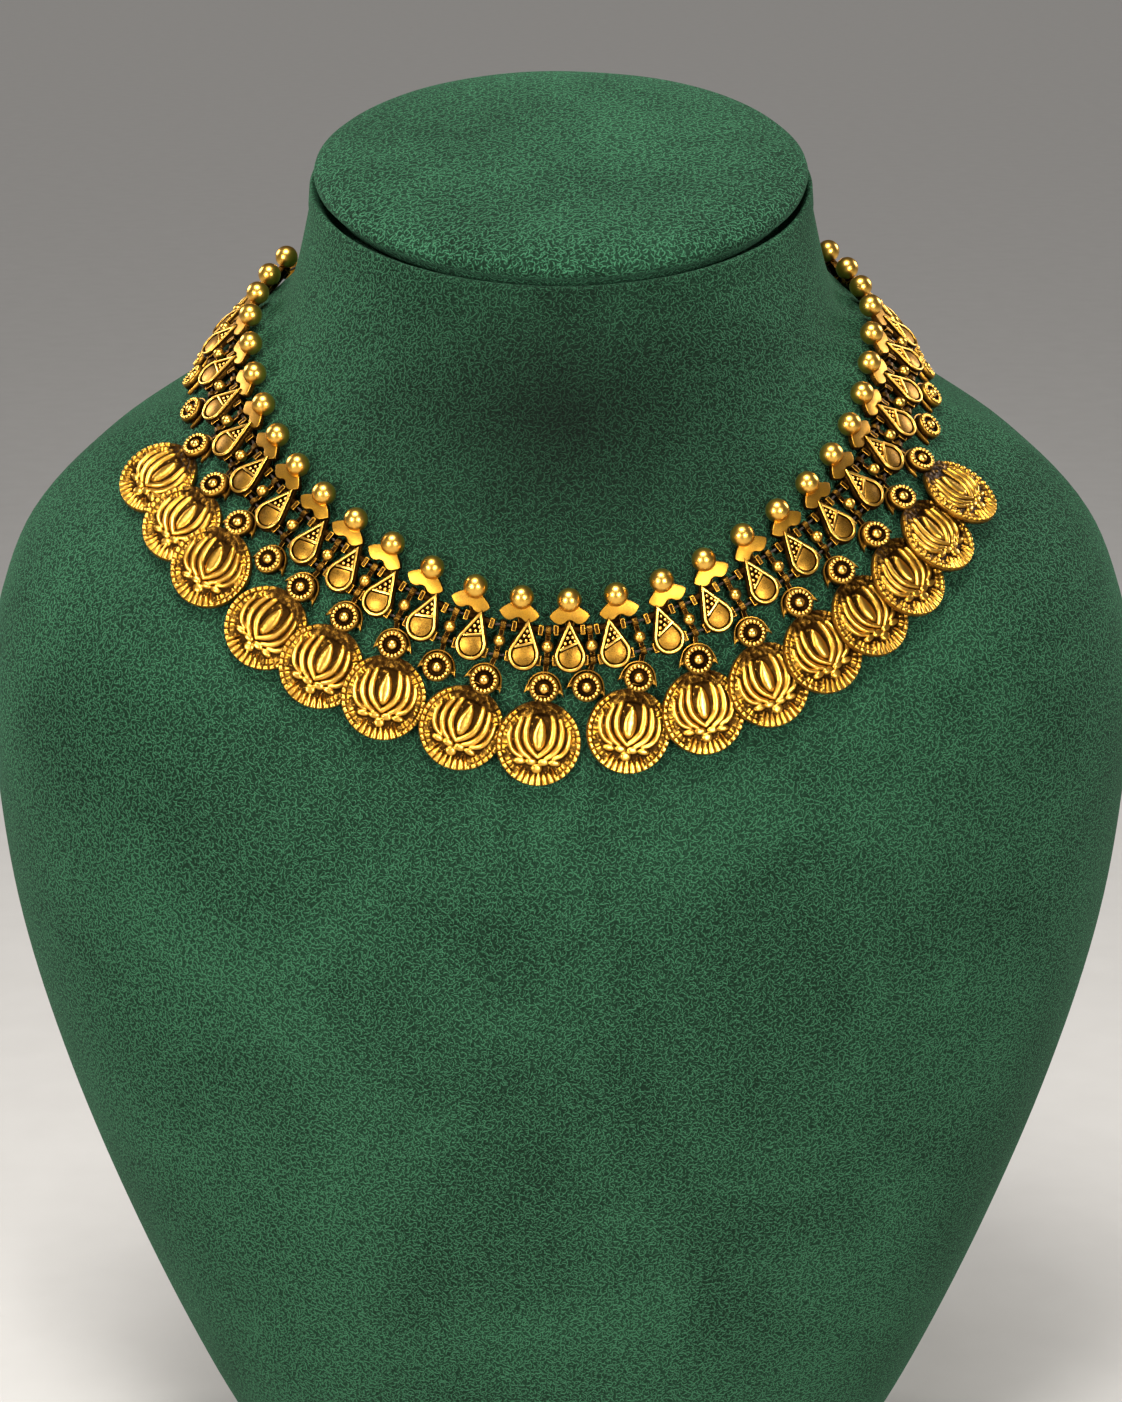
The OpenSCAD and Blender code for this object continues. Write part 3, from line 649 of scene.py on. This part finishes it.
def draw_up(form, faces, thick):
    """Draws flat faces up by a thickness. Gives the top face."""
    grown = bmesh.ops.extrude_face_region(form, geom=faces)["geom"]
    tops = [v for v in grown if isinstance(v, bmesh.types.BMVert)]
    bmesh.ops.translate(form, vec=(0, 0, thick), verts=tops)
    return [f for f in grown if isinstance(f, bmesh.types.BMFace)][0]


def plate(outline, thick):
    """A flat outline drawn up to a thickness. Gives the form and its top face."""
    form = bmesh.new()
    sole = form.faces.new([form.verts.new((x, y, 0)) for x, y in outline])
    return form, draw_up(form, [sole], thick)


def step_in(form, face, steps):
    """Draws a face inwards in steps of thickness and depth."""
    for thick, deep in steps:
        bmesh.ops.inset_region(form, faces=[face], thickness=thick, depth=deep, use_even_offset=True)


def teardrop(wall, turns=26):
    """Outline of the cell inside a wall, with a round foot and a tip."""
    r, mid = tear_w / 2 - wall, tear_w / 2 - tear_l / 2
    slant = asin(tear_w / 2 / (tear_l - tear_w / 2))
    tip = tear_l / 2 - wall / sin(slant)
    arc = [slant - i * (pi + 2 * slant) / turns for i in range(turns + 1)]
    side_x = r * cos(slant) * 0.35
    side_y = tip * 0.65 + (mid + r * sin(slant)) * 0.35
    round_foot = [(r * cos(a), mid + r * sin(a)) for a in reversed(arc)]
    return round_foot + [(side_x, side_y), (0, tip), (-side_x, side_y)]


# the cell: an outer wall with a narrow ledge, the rim wire, and the sunken field inside it
field_z = tear_t - field_depth
cell_form, cell_top = plate(teardrop(-0.18), 0.75)
bmesh.ops.scale(cell_form, vec=(0.972, 0.982, 1), verts=cell_top.verts)
step_in(cell_form, cell_top, [(0.04, 0.05), (0.10, 0.02), (0.03, 0.45), (0.07, 0.16), (0.11, 0.06),
                              (0.12, 0.01), (0.12, -0.01), (0.11, -0.06), (0.05, -0.12), (0.02, -0.46)])


def cell_worn(p):
    """The rim wire is polished, the ledge dull and the sunken field dark."""
    if p.z > 0.95:
        return 0.86 if p.z > 1.38 else 0.33
    return 0.0 if abs(p.z - field_z) < 0.04 else 0.26


cell = worn_part(cell_form, cell_worn, 50)
bar_form = block((3.95, 0.42, field_depth), 0.12, 3, lambda edge: all(v.co.z > 0 for v in edge.verts))
cell_bar = worn_part(bar_form, worn_above(0.1, 0.93, 0.3))


def pad_under(slope):
    """The satin pad in the foot of the cell, cut off along the bar's slant."""
    form = bmesh.new()
    form.faces.new([form.verts.new((x, y, 0)) for x, y in teardrop(0.84)])
    bmesh.ops.bisect_plane(form, geom=[*form.verts, *form.edges, *form.faces], plane_co=(0, -0.42, 0),
                           plane_no=(-sin(slope), cos(slope), 0), clear_outer=True)
    bmesh.ops.remove_doubles(form, verts=form.verts, dist=0.12)
    step_in(form, draw_up(form, list(form.faces), 0.2), [(0.07, 0.14), (0.13, 0.07)])
    return worn_part(form, worn_above(0.25, 0.48, 0.06), 60)


granule = worn_part(ball(0.35, 12, 7, (1, 1, 0.8)), worn_above(0.02, 0.95, 0.2))
crown_ball = worn_part(ball(ball_dia / 2, 36, 20), 0.86)

# the crescent, with its outline drawn smooth through the table and a softly rounded top
smooth_rows = [smooth(crescent_rows, k / 3) for k in range(3 * (len(crescent_rows) - 1) + 1)]
half = [(x * crescent_w, y * crescent_h) for x, y in smooth_rows]
crescent_form, crescent_top = plate(half + [(-x, y) for x, y in reversed(half[1:-1])], crescent_t - 0.14)
step_in(crescent_form, crescent_top, [(0.09, 0.12), (0.08, 0.02)])
crescent = worn_part(crescent_form, worn_above(crescent_t * 0.95, 0.57, 0.28), 50)


def spun(profile, steps):
    """A profile of radius and height spun round the upright axis."""
    form = bmesh.new()
    line = [form.verts.new((r, 0, z)) for r, z in profile]
    edges = [form.edges.new(pair) for pair in zip(line, line[1:])]
    bmesh.ops.spin(form, geom=[*line, *edges], cent=(0, 0, 0), axis=(0, 0, 1), angle=2 * pi,
                   steps=steps, use_merge=True)
    bmesh.ops.remove_doubles(form, verts=form.verts, dist=1e-4)
    return form


def tube_end():
    """A square tube end with a square bore: bright edges round dark sunken faces."""
    form = block((tube_end_l, tube_end_w, tube_end_w), 0.1, 2)
    broad = [f for f in form.faces if f.calc_area() > 1]
    mouths = [f for f in broad if abs(f.normal.x) > 0.9]
    for face in broad:
        if face not in mouths:
            bmesh.ops.inset_region(form, faces=[face], thickness=0.14, depth=-0.09, use_even_offset=True)
    for face in mouths:
        step_in(form, face, [(tube_end_w / 2 - 0.1 - bore_half, 0)])
    mouth_edges = [e for f in mouths for e in f.edges]
    bmesh.ops.delete(form, geom=mouths, context="FACES_ONLY")
    bmesh.ops.bridge_loops(form, edges=mouth_edges)
    return form


def end_worn(p):
    """A tube end's edges are worn, its faces dull and its bore dark."""
    far = max(abs(p.y), abs(p.z))
    return 0.62 if far > tube_end_w / 2 - 0.06 else 0.04 if far < bore_half + 0.05 else 0.3


square_end = worn_part(tube_end(), end_worn, 60)
pipe_r = tube_end_w * 0.4
pipe_form = spun([(bore_r, -0.5), (pipe_r, -0.5), (pipe_r, 0.5), (bore_r, 0.5), (bore_r, -0.5)], 16)
pipe = worn_part(pipe_form, 0.12)
# bars of one size are made once
bars = {}


def bar_between(low, high, soft=0.1):
    """A cast bar between two corners, its edges worn bright. Gives the part and its place."""
    low, high = Vector(low), Vector(high)
    size = tuple(round(x, 1) for x in high - low)
    if size not in bars:
        form = block(size, soft, 1)
        broad = [f for f in form.faces if f.calc_area() > 0.5]
        bmesh.ops.inset_individual(form, faces=broad, thickness=soft * 0.8, depth=-soft * 0.3)

        def edge_worn(p):
            return 0.5 if sum(abs(abs(a) - b / 2) < soft * 1.2 for a, b in zip(p, size)) > 1 else 0.1

        bars[size] = worn_part(form, edge_worn)
    return bars[size], Matrix.Translation((low + high) / 2)


def link_parts(crown, slope):
    """Every part of a link, with its ball and crescent shifted and its bar at a slope."""
    at, turned = Matrix.Translation, Matrix.Rotation
    floor_z = cell_lift + field_z
    parts = [(cell, at((0, -tear_drop, cell_lift))),
             (cell_bar, at((0, -tear_drop, floor_z + field_depth / 2)) @ turned(slope, 4, "Z")),
             (pad_under(slope), at((0, -tear_drop, floor_z - 0.02))),
             (crown_ball, at((crown, 0, ball_dia / 2)))]
    parts += [(granule, at((x * tear_w / 2, y * tear_l / 2 - tear_drop, floor_z + 0.16)))
              for x, y in granule_rows]
    parts.append((crescent, at((crown, 0, crescent_t))))
    foot, head = Vector((0, -tear_drop + tear_l * 0.1, 0)), Vector((crown, -crescent_h * 0.7, 0))
    way = head - foot
    stem, middle = bar_between((0, -0.8, 0), (way.length, 0.8, crescent_t))
    stem_place = at(foot + Vector((0, 0, 0.25))) @ turned(atan2(way.y, way.x), 4, "Z")
    parts.append((stem, stem_place @ middle))
    for y, long in ((-upper_drop, upper_half), (-lower_drop, lower_half)):
        stretch = Matrix.Diagonal((1, 1, 2 * long - tube_end_l, 1))
        parts.append((pipe, at((0, y, thread_z)) @ turned(pi / 2, 4, "Y") @ stretch))
        parts += [(square_end, at((side * (long - tube_end_l / 2), y, thread_z))) for side in (-1, 1)]
    return parts


for i, place in link_frames.items():
    name = f"teardrop_link_{i:02d}"
    bar_change = max(-bar_turn_most, min(bar_turn_most, bar_turn * (i - middle_link)))
    mesh = soldered(link_parts(lean(i, 1), radians(bar_angle + bar_change)))
    mesh.transform(place)
    shown(mesh, name, link_gold, "link_gold", f"link_{i:02d}")

# Drops: in each gap between two links an upright bar with two eyes is strung on both threads,
# with a small polished ball between them. Under it hangs a dark collar with two horns and a
# rosette: a drum with granules round its edge, a dark ring and a bright boss. All are cast and
# soldered in one.
bead_dia, drop_bar_w, rosette_drop, collar_w, collar_t = 2.3, 0.9, 5.3, 6.6, 0.8
collar_z = -thread_z + 0.1
coin_drop_l, coin_dia, coin_t, coin_tilt = 15.3, 16, 1.0, 10
# Gap number from the left and swing, for the drops that carry a coin and for those that don't
coin_hang = [(6, 15), (7, 23), (8, 21), (10, -7), (11, 8), (12, 20), (14, -12), (15, -2),
             (17, -25), (18, -19), (19, -13), (20, -5), (21, -7), (22, -12), (23, -16), (24, -13)]
plain_hang = {9: 10, 13: 8, 16: -18}


def bore_end(i, way, lower):
    """End of a link's lower or upper bore, to its left or its right."""
    across, down = (lower_half, lower_drop) if lower else (upper_half, upper_drop)
    return link_frames[i] @ Vector((way * across, -down, thread_z))


def drop_frame(k):
    """Frame of the drop after link k, at the lower thread, and its rise to the upper one."""
    high = (bore_end(k, 1, False) + bore_end(k + 1, -1, False)) / 2
    low = (bore_end(k, 1, True) + bore_end(k + 1, -1, True)) / 2
    y = (high - low).normalized()
    z = (bore_end(k + 1, -1, True) - bore_end(k, 1, True)).cross(y).normalized()
    return carried(y.cross(z), y, z, low), (high - low).length


def hanging(k, reach, swing):
    """The spot of the bust under the end of a drop, and the way that the drop hangs."""
    s, turn = (link_station(k) + link_station(k + 1)) / 2, (lean(k, 2) + lean(k + 1, 2)) / 2
    eye_spot, _, down = ways_from(s, turn)
    spot = walk(eye_spot, down, lower_drop)
    n = outward(spot)
    way = Matrix.Rotation(radians(swing), 3, n) @ (down - n * down.dot(n))
    return walk(spot, way, reach), way


def low_frame(k, reach, height, swing):
    """Frame of the part of a drop that hangs below its lower eye."""
    end, _ = hanging(k, reach, swing)
    origin = drop_frame(k)[0].translation
    y = (origin - on_bust(*end) - outward(end) * height).normalized()
    x = y.cross(outward(end)).normalized()
    return carried(x, y, x.cross(y), origin)


eye_form = spun([(0.52, -0.57), (0.87, -0.57), (0.95, -0.48), (0.95, 0.48), (0.87, 0.57), (0.52, 0.57),
                 (0.52, -0.57)], 18)
drop_eye = worn_part(eye_form, lambda p: 0.35 if hypot(p.x, p.y) > 0.9 else 0.15)
drop_bead = worn_part(ball(bead_dia / 2, 20, 12), 0.84)

# the collar: a dark plate round the top of the rosette, thin bright edges, a horn on each side
collar_r = collar_w / 2
arch = [(collar_r * cos(radians(a)), collar_r * sin(radians(a))) for a in range(16, 165, 8)]
sole = [(x * collar_r, -0.2 * collar_r) for x in (-0.98, -0.5, 0.5, 0.98)]
horn = [(1.15 * collar_r, -0.4 * collar_r), (1.04 * collar_r, 0.06 * collar_r)]
collar_form, collar_top = plate(sole + horn + arch + [(-x, y) for x, y in reversed(horn)], collar_t - 0.12)
step_in(collar_form, collar_top, [(0.08, 0.12), (0.16, 0.0), (0.12, -0.14)])


def collar_worn(p):
    """The collar's rim is worn, and the plate inside it dark."""
    if hypot(p.x, p.y) < collar_r - 0.33:
        return 0.06
    return 0.52 if p.z > 0.6 else 0.16


def drum_worn(p):
    """A bright boss in a dark ring, and a satin wall round both."""
    far = hypot(p.x, p.y)
    if far < 1.0 and p.z > 1.6:
        return 0.9
    if far < 1.75 and p.z > 1.25:
        return 0.06
    return 0.5 if far > 2.4 and p.z > 0.6 else 0.12


collar = worn_part(collar_form, collar_worn, 50)
drum_form = spun([(0, 0), (2.55, 0), (2.75, 0.22), (2.75, 1.3), (2.68, 1.52), (2.5, 1.66), (2.3, 1.7),
                  (1.8, 1.7), (1.68, 1.62), (1.6, 1.4), (1.45, 1.3), (1.05, 1.3), (0.96, 1.5), (0.9, 1.8),
                  (0.74, 2.05), (0.45, 2.22), (0, 2.3)], 40)
drum = worn_part(drum_form, drum_worn, 50)
bud = worn_part(ball(0.36, 12, 7, (1.2, 0.93, 0.85)), worn_above(0.02, 0.92, 0.2))
bud_count, bud_place = 18, Matrix.Translation((2.14, 0, 1.72))
buds = [(bud, Matrix.Rotation(2 * pi * j / bud_count, 4, "Z") @ bud_place) for j in range(bud_count)]
rosette = soldered([(drum, Matrix())] + buds)


def bar_parts(k):
    """The upper half of a drop: the upright bar, its two eyes and the small ball."""
    place, rise = drop_frame(k)
    across = Matrix.Rotation(pi / 2, 4, "Y")
    upright, middle = bar_between((-drop_bar_w / 2, 0.8, -0.7), (drop_bar_w / 2, rise - 0.8, 0.5))
    return [(upright, place @ middle), (drop_eye, place @ across),
            (drop_eye, place @ Matrix.Translation((0, rise, 0)) @ across),
            (drop_bead, place @ Matrix.Translation((0, rise + upper_drop - tear_drop, thread_z)))]


def neck_parts(place):
    """The lower half of a drop: the collar, the rosette and the bar behind them."""
    down = Matrix.Translation((0, -rosette_drop, collar_z))
    neck, middle = bar_between((-drop_bar_w / 2, -rosette_drop, collar_z),
                               (drop_bar_w / 2, -0.7, collar_z + collar_t))
    return [(collar, place @ down), (rosette, place @ down @ Matrix.Translation((0, 0, collar_t / 2))),
            (neck, place @ middle)]


plain_parts = []
for k in range(1, link_count):
    if k not in dict(coin_hang):
        place = low_frame(k, rosette_drop, thread_z + gap, plain_hang.get(k, 0))
        plain_parts += bar_parts(k) + neck_parts(place)
shown(soldered(plain_parts), "rosette_drop_row", coin_gold, "coin_gold", "rosette_drops")

# Lotus coins: a struck brass disc with a lotus of one bud and six petals over a row of seeds,
# two rows of ribs round the rim, and a rough place under the rosette where it is soldered on,
# coloured darker there. The relief is worn bright and the field between it stays dark. Each
# coin's left edge lifts over its neighbour.
coin_r = coin_dia / 2
coin_lift = coin_r * sin(radians(coin_tilt)) + coin_t + gap
# How far the field lies under the rim, and height of the petals, seeds and ribs over the field
field_under, petal_h, seed_h, rib_h = 0.1, 0.64, 0.56, 0.46
# Ribs round the coin, the inner end of long and of short ones, the seam across the short ones,
# and the outer end of all
rib_count, long_rib_r, short_rib_r, seam_r, rim_r = 38, 5.35, 6.05, 7.05, 7.8
# Angle from the coin's foot up to which the ribs are long, and from which the solder lies
long_rib_turn, solder_turn = 34, 138
# Middle line of each petal on the right, from foot to tip, with its half width
petals = [
    [(0.0, -2.5, 0.5), (1.2, -1.45, 0.63), (2.25, 0.0, 0.71),
     (2.6, 1.9, 0.71), (2.45, 3.7, 0.64), (2.1, 5.35, 0.5)],
    [(1.5, -2.75, 0.5), (2.9, -1.75, 0.6), (3.9, -0.2, 0.66),
     (4.24, 1.3, 0.66), (4.1, 2.9, 0.6), (3.65, 4.5, 0.48)],
    [(3.0, -2.65, 0.45), (4.4, -1.95, 0.52), (5.3, -0.75, 0.56),
     (5.66, 0.6, 0.54), (5.68, 1.7, 0.5), (5.5, 2.75, 0.44)],
]
# Middle, half width and half height of each seed
seeds = [(-1.15, -3.45, 1.15, 0.72), (1.15, -3.45, 1.15, 0.72), (-3.3, -3.45, 1.25, 0.62),
         (3.3, -3.45, 1.25, 0.62), (0, -4.7, 1.12, 0.95)]
petal_lines = []
for rows in petals:
    line = [smooth(rows, j / 4) for j in range(4 * (len(rows) - 1) + 1)]
    petal_lines += [(side, [(side * x, y, wide) for x, y, wide in line]) for side in (-1, 1)]


def petal_height(x, y):
    """Height of the six petals over the field."""
    best = 0
    for side, line in petal_lines:
        for (ax, ay, aw), (bx, by, bw) in zip(line, line[1:]):
            if abs(ax - x) > 1.4 or abs(ay - y) > 1.6:
                continue
            dx, dy = bx - ax, by - ay
            t = max(0, min(1, ((x - ax) * dx + (y - ay) * dy) / (dx * dx + dy * dy)))
            off = hypot(x - ax - t * dx, y - ay - t * dy)
            wide = aw + (bw - aw) * t
            if off < wide:
                # the crest lies a little to the outside
                lean_out = ((x - ax) * dy - (y - ay) * dx) * side / (wide * hypot(dx, dy))
                u = off / wide
                best = max(best, petal_h * (1 - u ** 2.4) ** 0.8 * (0.88 + 0.16 * lean_out))
    return best


def coin_height(x, y):
    """Height of the struck face over the field, in millimetres."""
    r, turn = hypot(x, y), degrees(atan2(y, x))
    h = petal_height(x, y)
    # the bud in the middle, as a share of its length from foot to tip
    s = (y + 1.7) / 6.8
    if 0 < s < 1:
        wide = 1.36 * sin(pi * s ** 0.85) ** 0.8
        if abs(x) < wide:
            h = max(h, petal_h * (1 - (abs(x) / wide) ** 2.4) ** 0.7 * min(1, 7 * s, 7 * (1 - s)))
    for cx, cy, wide, tall in seeds:
        rho = ((x - cx) / wide) ** 2 + ((y - cy) / tall) ** 2
        if rho < 1:
            h = max(h, seed_h * (1 - rho ** 1.8) ** 0.6)
    down = abs((turn + 90 + 180) % 360 - 180)
    rib = turn * rib_count / 360
    number = floor(rib)
    wave = abs(2 * (rib - number) - 1)
    ridge = step_up(0.05, 0.3, wave)
    inner = long_rib_r + 0.35 * sin(number * 2.1)
    if down >= long_rib_turn:
        inner = short_rib_r + 0.3 * sin(number * 1.7)
    if r > inner - 0.1:
        body = step_up(inner, inner + 0.3, r) * (1 - step_up(rim_r, 8.0, r))
        if down > long_rib_turn:
            # an outer row of square beads, and a lower, rougher row of blocks inside it
            body *= 1 - 0.95 * exp(-((r - seam_r) / 0.14) ** 2)
            body *= 1 if r > seam_r else 0.62 + 0.35 * sin(number * 2.3)
        else:
            narrow = 0.3 * max(0, 7.2 - r) / 1.6
            ridge = step_up(0.08 + narrow, 0.36 + narrow, wave)
        h = max(h, rib_h * ridge * body)
    if down > solder_turn:
        # rough solder under the rosette
        rough_here = step_up(solder_turn, 150, down) * step_up(5.2, 6.0, r)
        lump = 0.25 + 0.3 * noise.noise(Vector((x * 1.3, y * 1.3, 3.1)))
        h = h * (1 - rough_here) + lump * rough_here
    return h + 0.02 * noise.noise(Vector((x * 2.2, y * 2.2, 0.4)))


coin_form = bmesh.new()
round_layer = coin_form.verts.layers.float.new("round")
for v in bmesh.ops.create_circle(coin_form, segments=rib_count * 5, radius=1)["verts"]:
    v[round_layer] = degrees(atan2(v.co.y, v.co.x))
    v.co = coin_r * 0.985 * v.co
    v.co.z = -coin_t
edges = list(coin_form.edges)


def coin_ring(r, z=None):
    """Place on the coin at a radius, on the struck face or at a height of its own."""
    def place(turn):
        x, y = r * cos(radians(turn)), r * sin(radians(turn))
        return Vector((x, y, coin_height(x, y) - field_under if z is None else z))
    return place


face_radii = [7.97, 7.9, 7.84, 7.78, 7.7] + [7.56 - 0.142 * j for j in range(52)] + [0.08, 0]
edge_places = [coin_ring(coin_r, -coin_t * 0.88), coin_ring(coin_r, -0.12)]
for place in edge_places + [coin_ring(r) for r in face_radii]:
    edges = raise_ring(coin_form, edges, place, round_layer)
bmesh.ops.remove_doubles(coin_form, verts=coin_form.verts, dist=1e-4)
bmesh.ops.holes_fill(coin_form, edges=[e for e in coin_form.edges if e.is_boundary])
coin_form.verts.layers.float.remove(round_layer)


def coin_worn(p):
    """The relief is bright, the field dark, and the top under the rosette darkest."""
    if p.z < -0.11:
        return 0.5 if p.z > -0.5 else 0.35
    field = 0.2 + 0.15 * step_up(5.4, 6.4, hypot(p.x, p.y))
    # the top of the coin, round and under the rosette, is coloured darker: its worn value is cut by up to a
    # half
    darker_under_rosette = step_up(4.6, 6.0, p.y) * (1 - step_up(3.0, 6.5, abs(p.x)))
    return (field + (0.83 - field) * step_up(0.06, 0.5, p.z + field_under)) * (1 - 0.5 * darker_under_rosette)


coin = worn_part(coin_form, coin_worn, 70)


def coin_frame(k, swing):
    """Where a coin lies under its drop, with its left edge lifted."""
    end, way = hanging(k, coin_drop_l, swing)
    z = outward(end)
    x = z.cross(way).normalized()
    tilt = Matrix.Rotation(radians(coin_tilt), 4, "Y")
    return carried(x, z.cross(x), z, on_bust(*end) + z * coin_lift) @ tilt


for number, (k, swing) in enumerate(coin_hang, 1):
    place = coin_frame(k, swing)
    tab, middle = bar_between((-1.4, 6, -0.85), (1.4, 9, -0.12))
    parts = bar_parts(k) + neck_parts(low_frame(k, coin_drop_l, coin_lift, swing))
    parts += [(coin, place), (tab, place @ middle)]
    name = f"lotus_coin_drop_{number:02d}"
    shown(soldered(parts), name, coin_gold, "coin_gold", f"coin_drop_{number:02d}")

# End bars, ring chains and clasp: plain plated castings and closed rings of round wire that
# join the two ends of the collar behind the neck. They are less dark than the front pieces,
# because they have no hollows to hold the dip.
back_nodes = ("end_bar_left", "end_bar_right", "chain_left", "chain_right", "clasp")


def finish_node(name, material):
    """Gives a solid that is kept from the frame its material."""
    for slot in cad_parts[name].material_slots:
        slot.material = material


for name in back_nodes:
    finish_node(name, chain_gold)

# Threads: two strands of dark twisted cotton, waxed, which show only as short stretches
# between the tube ends and the drops' eyes.
cotton, tree, shader = new_material("waxed cotton thread")
twist = nodes_of(tree, "ShaderNodeTexWave", [("Vector", on_object(tree))], [("bands_direction", "DIAGONAL")],
                 Scale=1400.0, Distortion=1.5, Detail=1.0).outputs["Fac"]
cotton_colour = ramp_of(tree, twist, [(0.2, (0.008, 0.004, 0.002)), (0.8, (0.05, 0.028, 0.012))])
tree.links.new(cotton_colour, shader.inputs["Base Color"])
raised(tree, shader, twist, 0.6, 0.00008)
set_values(shader, Roughness=0.6)
for name in ("thread_upper", "thread_lower"):
    finish_node(name, cotton)

# Studio: a plain pale floor, one large soft box overhead and in front, a smaller one on each
# side of the camera and two behind, a wide soft light from the ceiling, and a dim surround.
floor_form = bmesh.new()
bmesh.ops.create_grid(floor_form, x_segments=8, y_segments=8, size=12)
studio_floor = in_scene("studio_floor", meshed(floor_form))
pale, tree, shader = new_material("pale floor")
paper = nodes_of(tree, "ShaderNodeTexNoise", [("Vector", on_object(tree))], Scale=60.0, Detail=3.0)
paper_colour = ramp_of(tree, paper.outputs["Fac"], [(0.3, (0.47, 0.46, 0.45)), (0.7, (0.49, 0.48, 0.47))])
tree.links.new(paper_colour, shader.inputs["Base Color"])
set_values(shader, Roughness=0.8)
studio_floor.data.materials.append(pale)

# the point that the camera looks at, its distance, and how far it looks down
look_at, camera_far, camera_pitch = Vector((0, -0.071, 0.192)), 0.619, radians(15)


def soft_box(name, way, far, wide, tall, power):
    """A soft box of warm light that faces the necklace."""
    lamp = bpy.data.lights.new(name, "AREA")
    lamp.shape, lamp.size, lamp.size_y, lamp.spread = "ELLIPSE", wide, tall, radians(100)
    lamp.energy, lamp.color = power, (1, 0.97, 0.92)
    body = in_scene(name, lamp)
    body.location = look_at + Vector(way).normalized() * far
    body.rotation_euler = (look_at - body.location).to_track_quat("-Z", "Y").to_euler()
    body.visible_camera = False


soft_box("overhead soft box", (-0.11, -0.38, 0.92), 0.95, 0.46, 0.36, 2.7)
soft_box("left soft box", (-0.61, -0.77, 0.17), 1.0, 0.26, 0.34, 3.0)
soft_box("right soft box", (0.42, -0.88, 0.2), 1.0, 0.26, 0.34, 2.9)
soft_box("back left soft box", (-0.9, 0.6, 0.45), 1.1, 0.3, 0.5, 1.8)
soft_box("back right soft box", (0.9, 0.6, 0.45), 1.1, 0.3, 0.5, 1.8)
ceiling = bpy.data.lights.new("ceiling light", "SUN")
ceiling.energy, ceiling.angle, ceiling.color = 1.5, radians(35), (1, 0.98, 0.95)
in_scene("ceiling light", ceiling).rotation_euler = (radians(20), radians(-6), 0)
surround = bpy.data.worlds.new("surround")
surround.use_nodes = True
set_values(surround.node_tree.nodes["Background"], Color=(0.30, 0.29, 0.28, 1), Strength=0.2)
bpy.context.scene.world = surround
bpy.context.scene.view_settings.view_transform = "Standard"

lens = bpy.data.cameras.new("camera")
lens.lens, lens.sensor_width, lens.sensor_fit = 85, 36, "AUTO"
lens.clip_start, lens.clip_end = 0.01, 20
camera = in_scene("camera", lens)
camera.location = look_at + camera_far * Vector((0, -cos(camera_pitch), sin(camera_pitch)))
camera.rotation_euler = (pi / 2 - camera_pitch, 0, 0)
bpy.context.scene.camera = camera
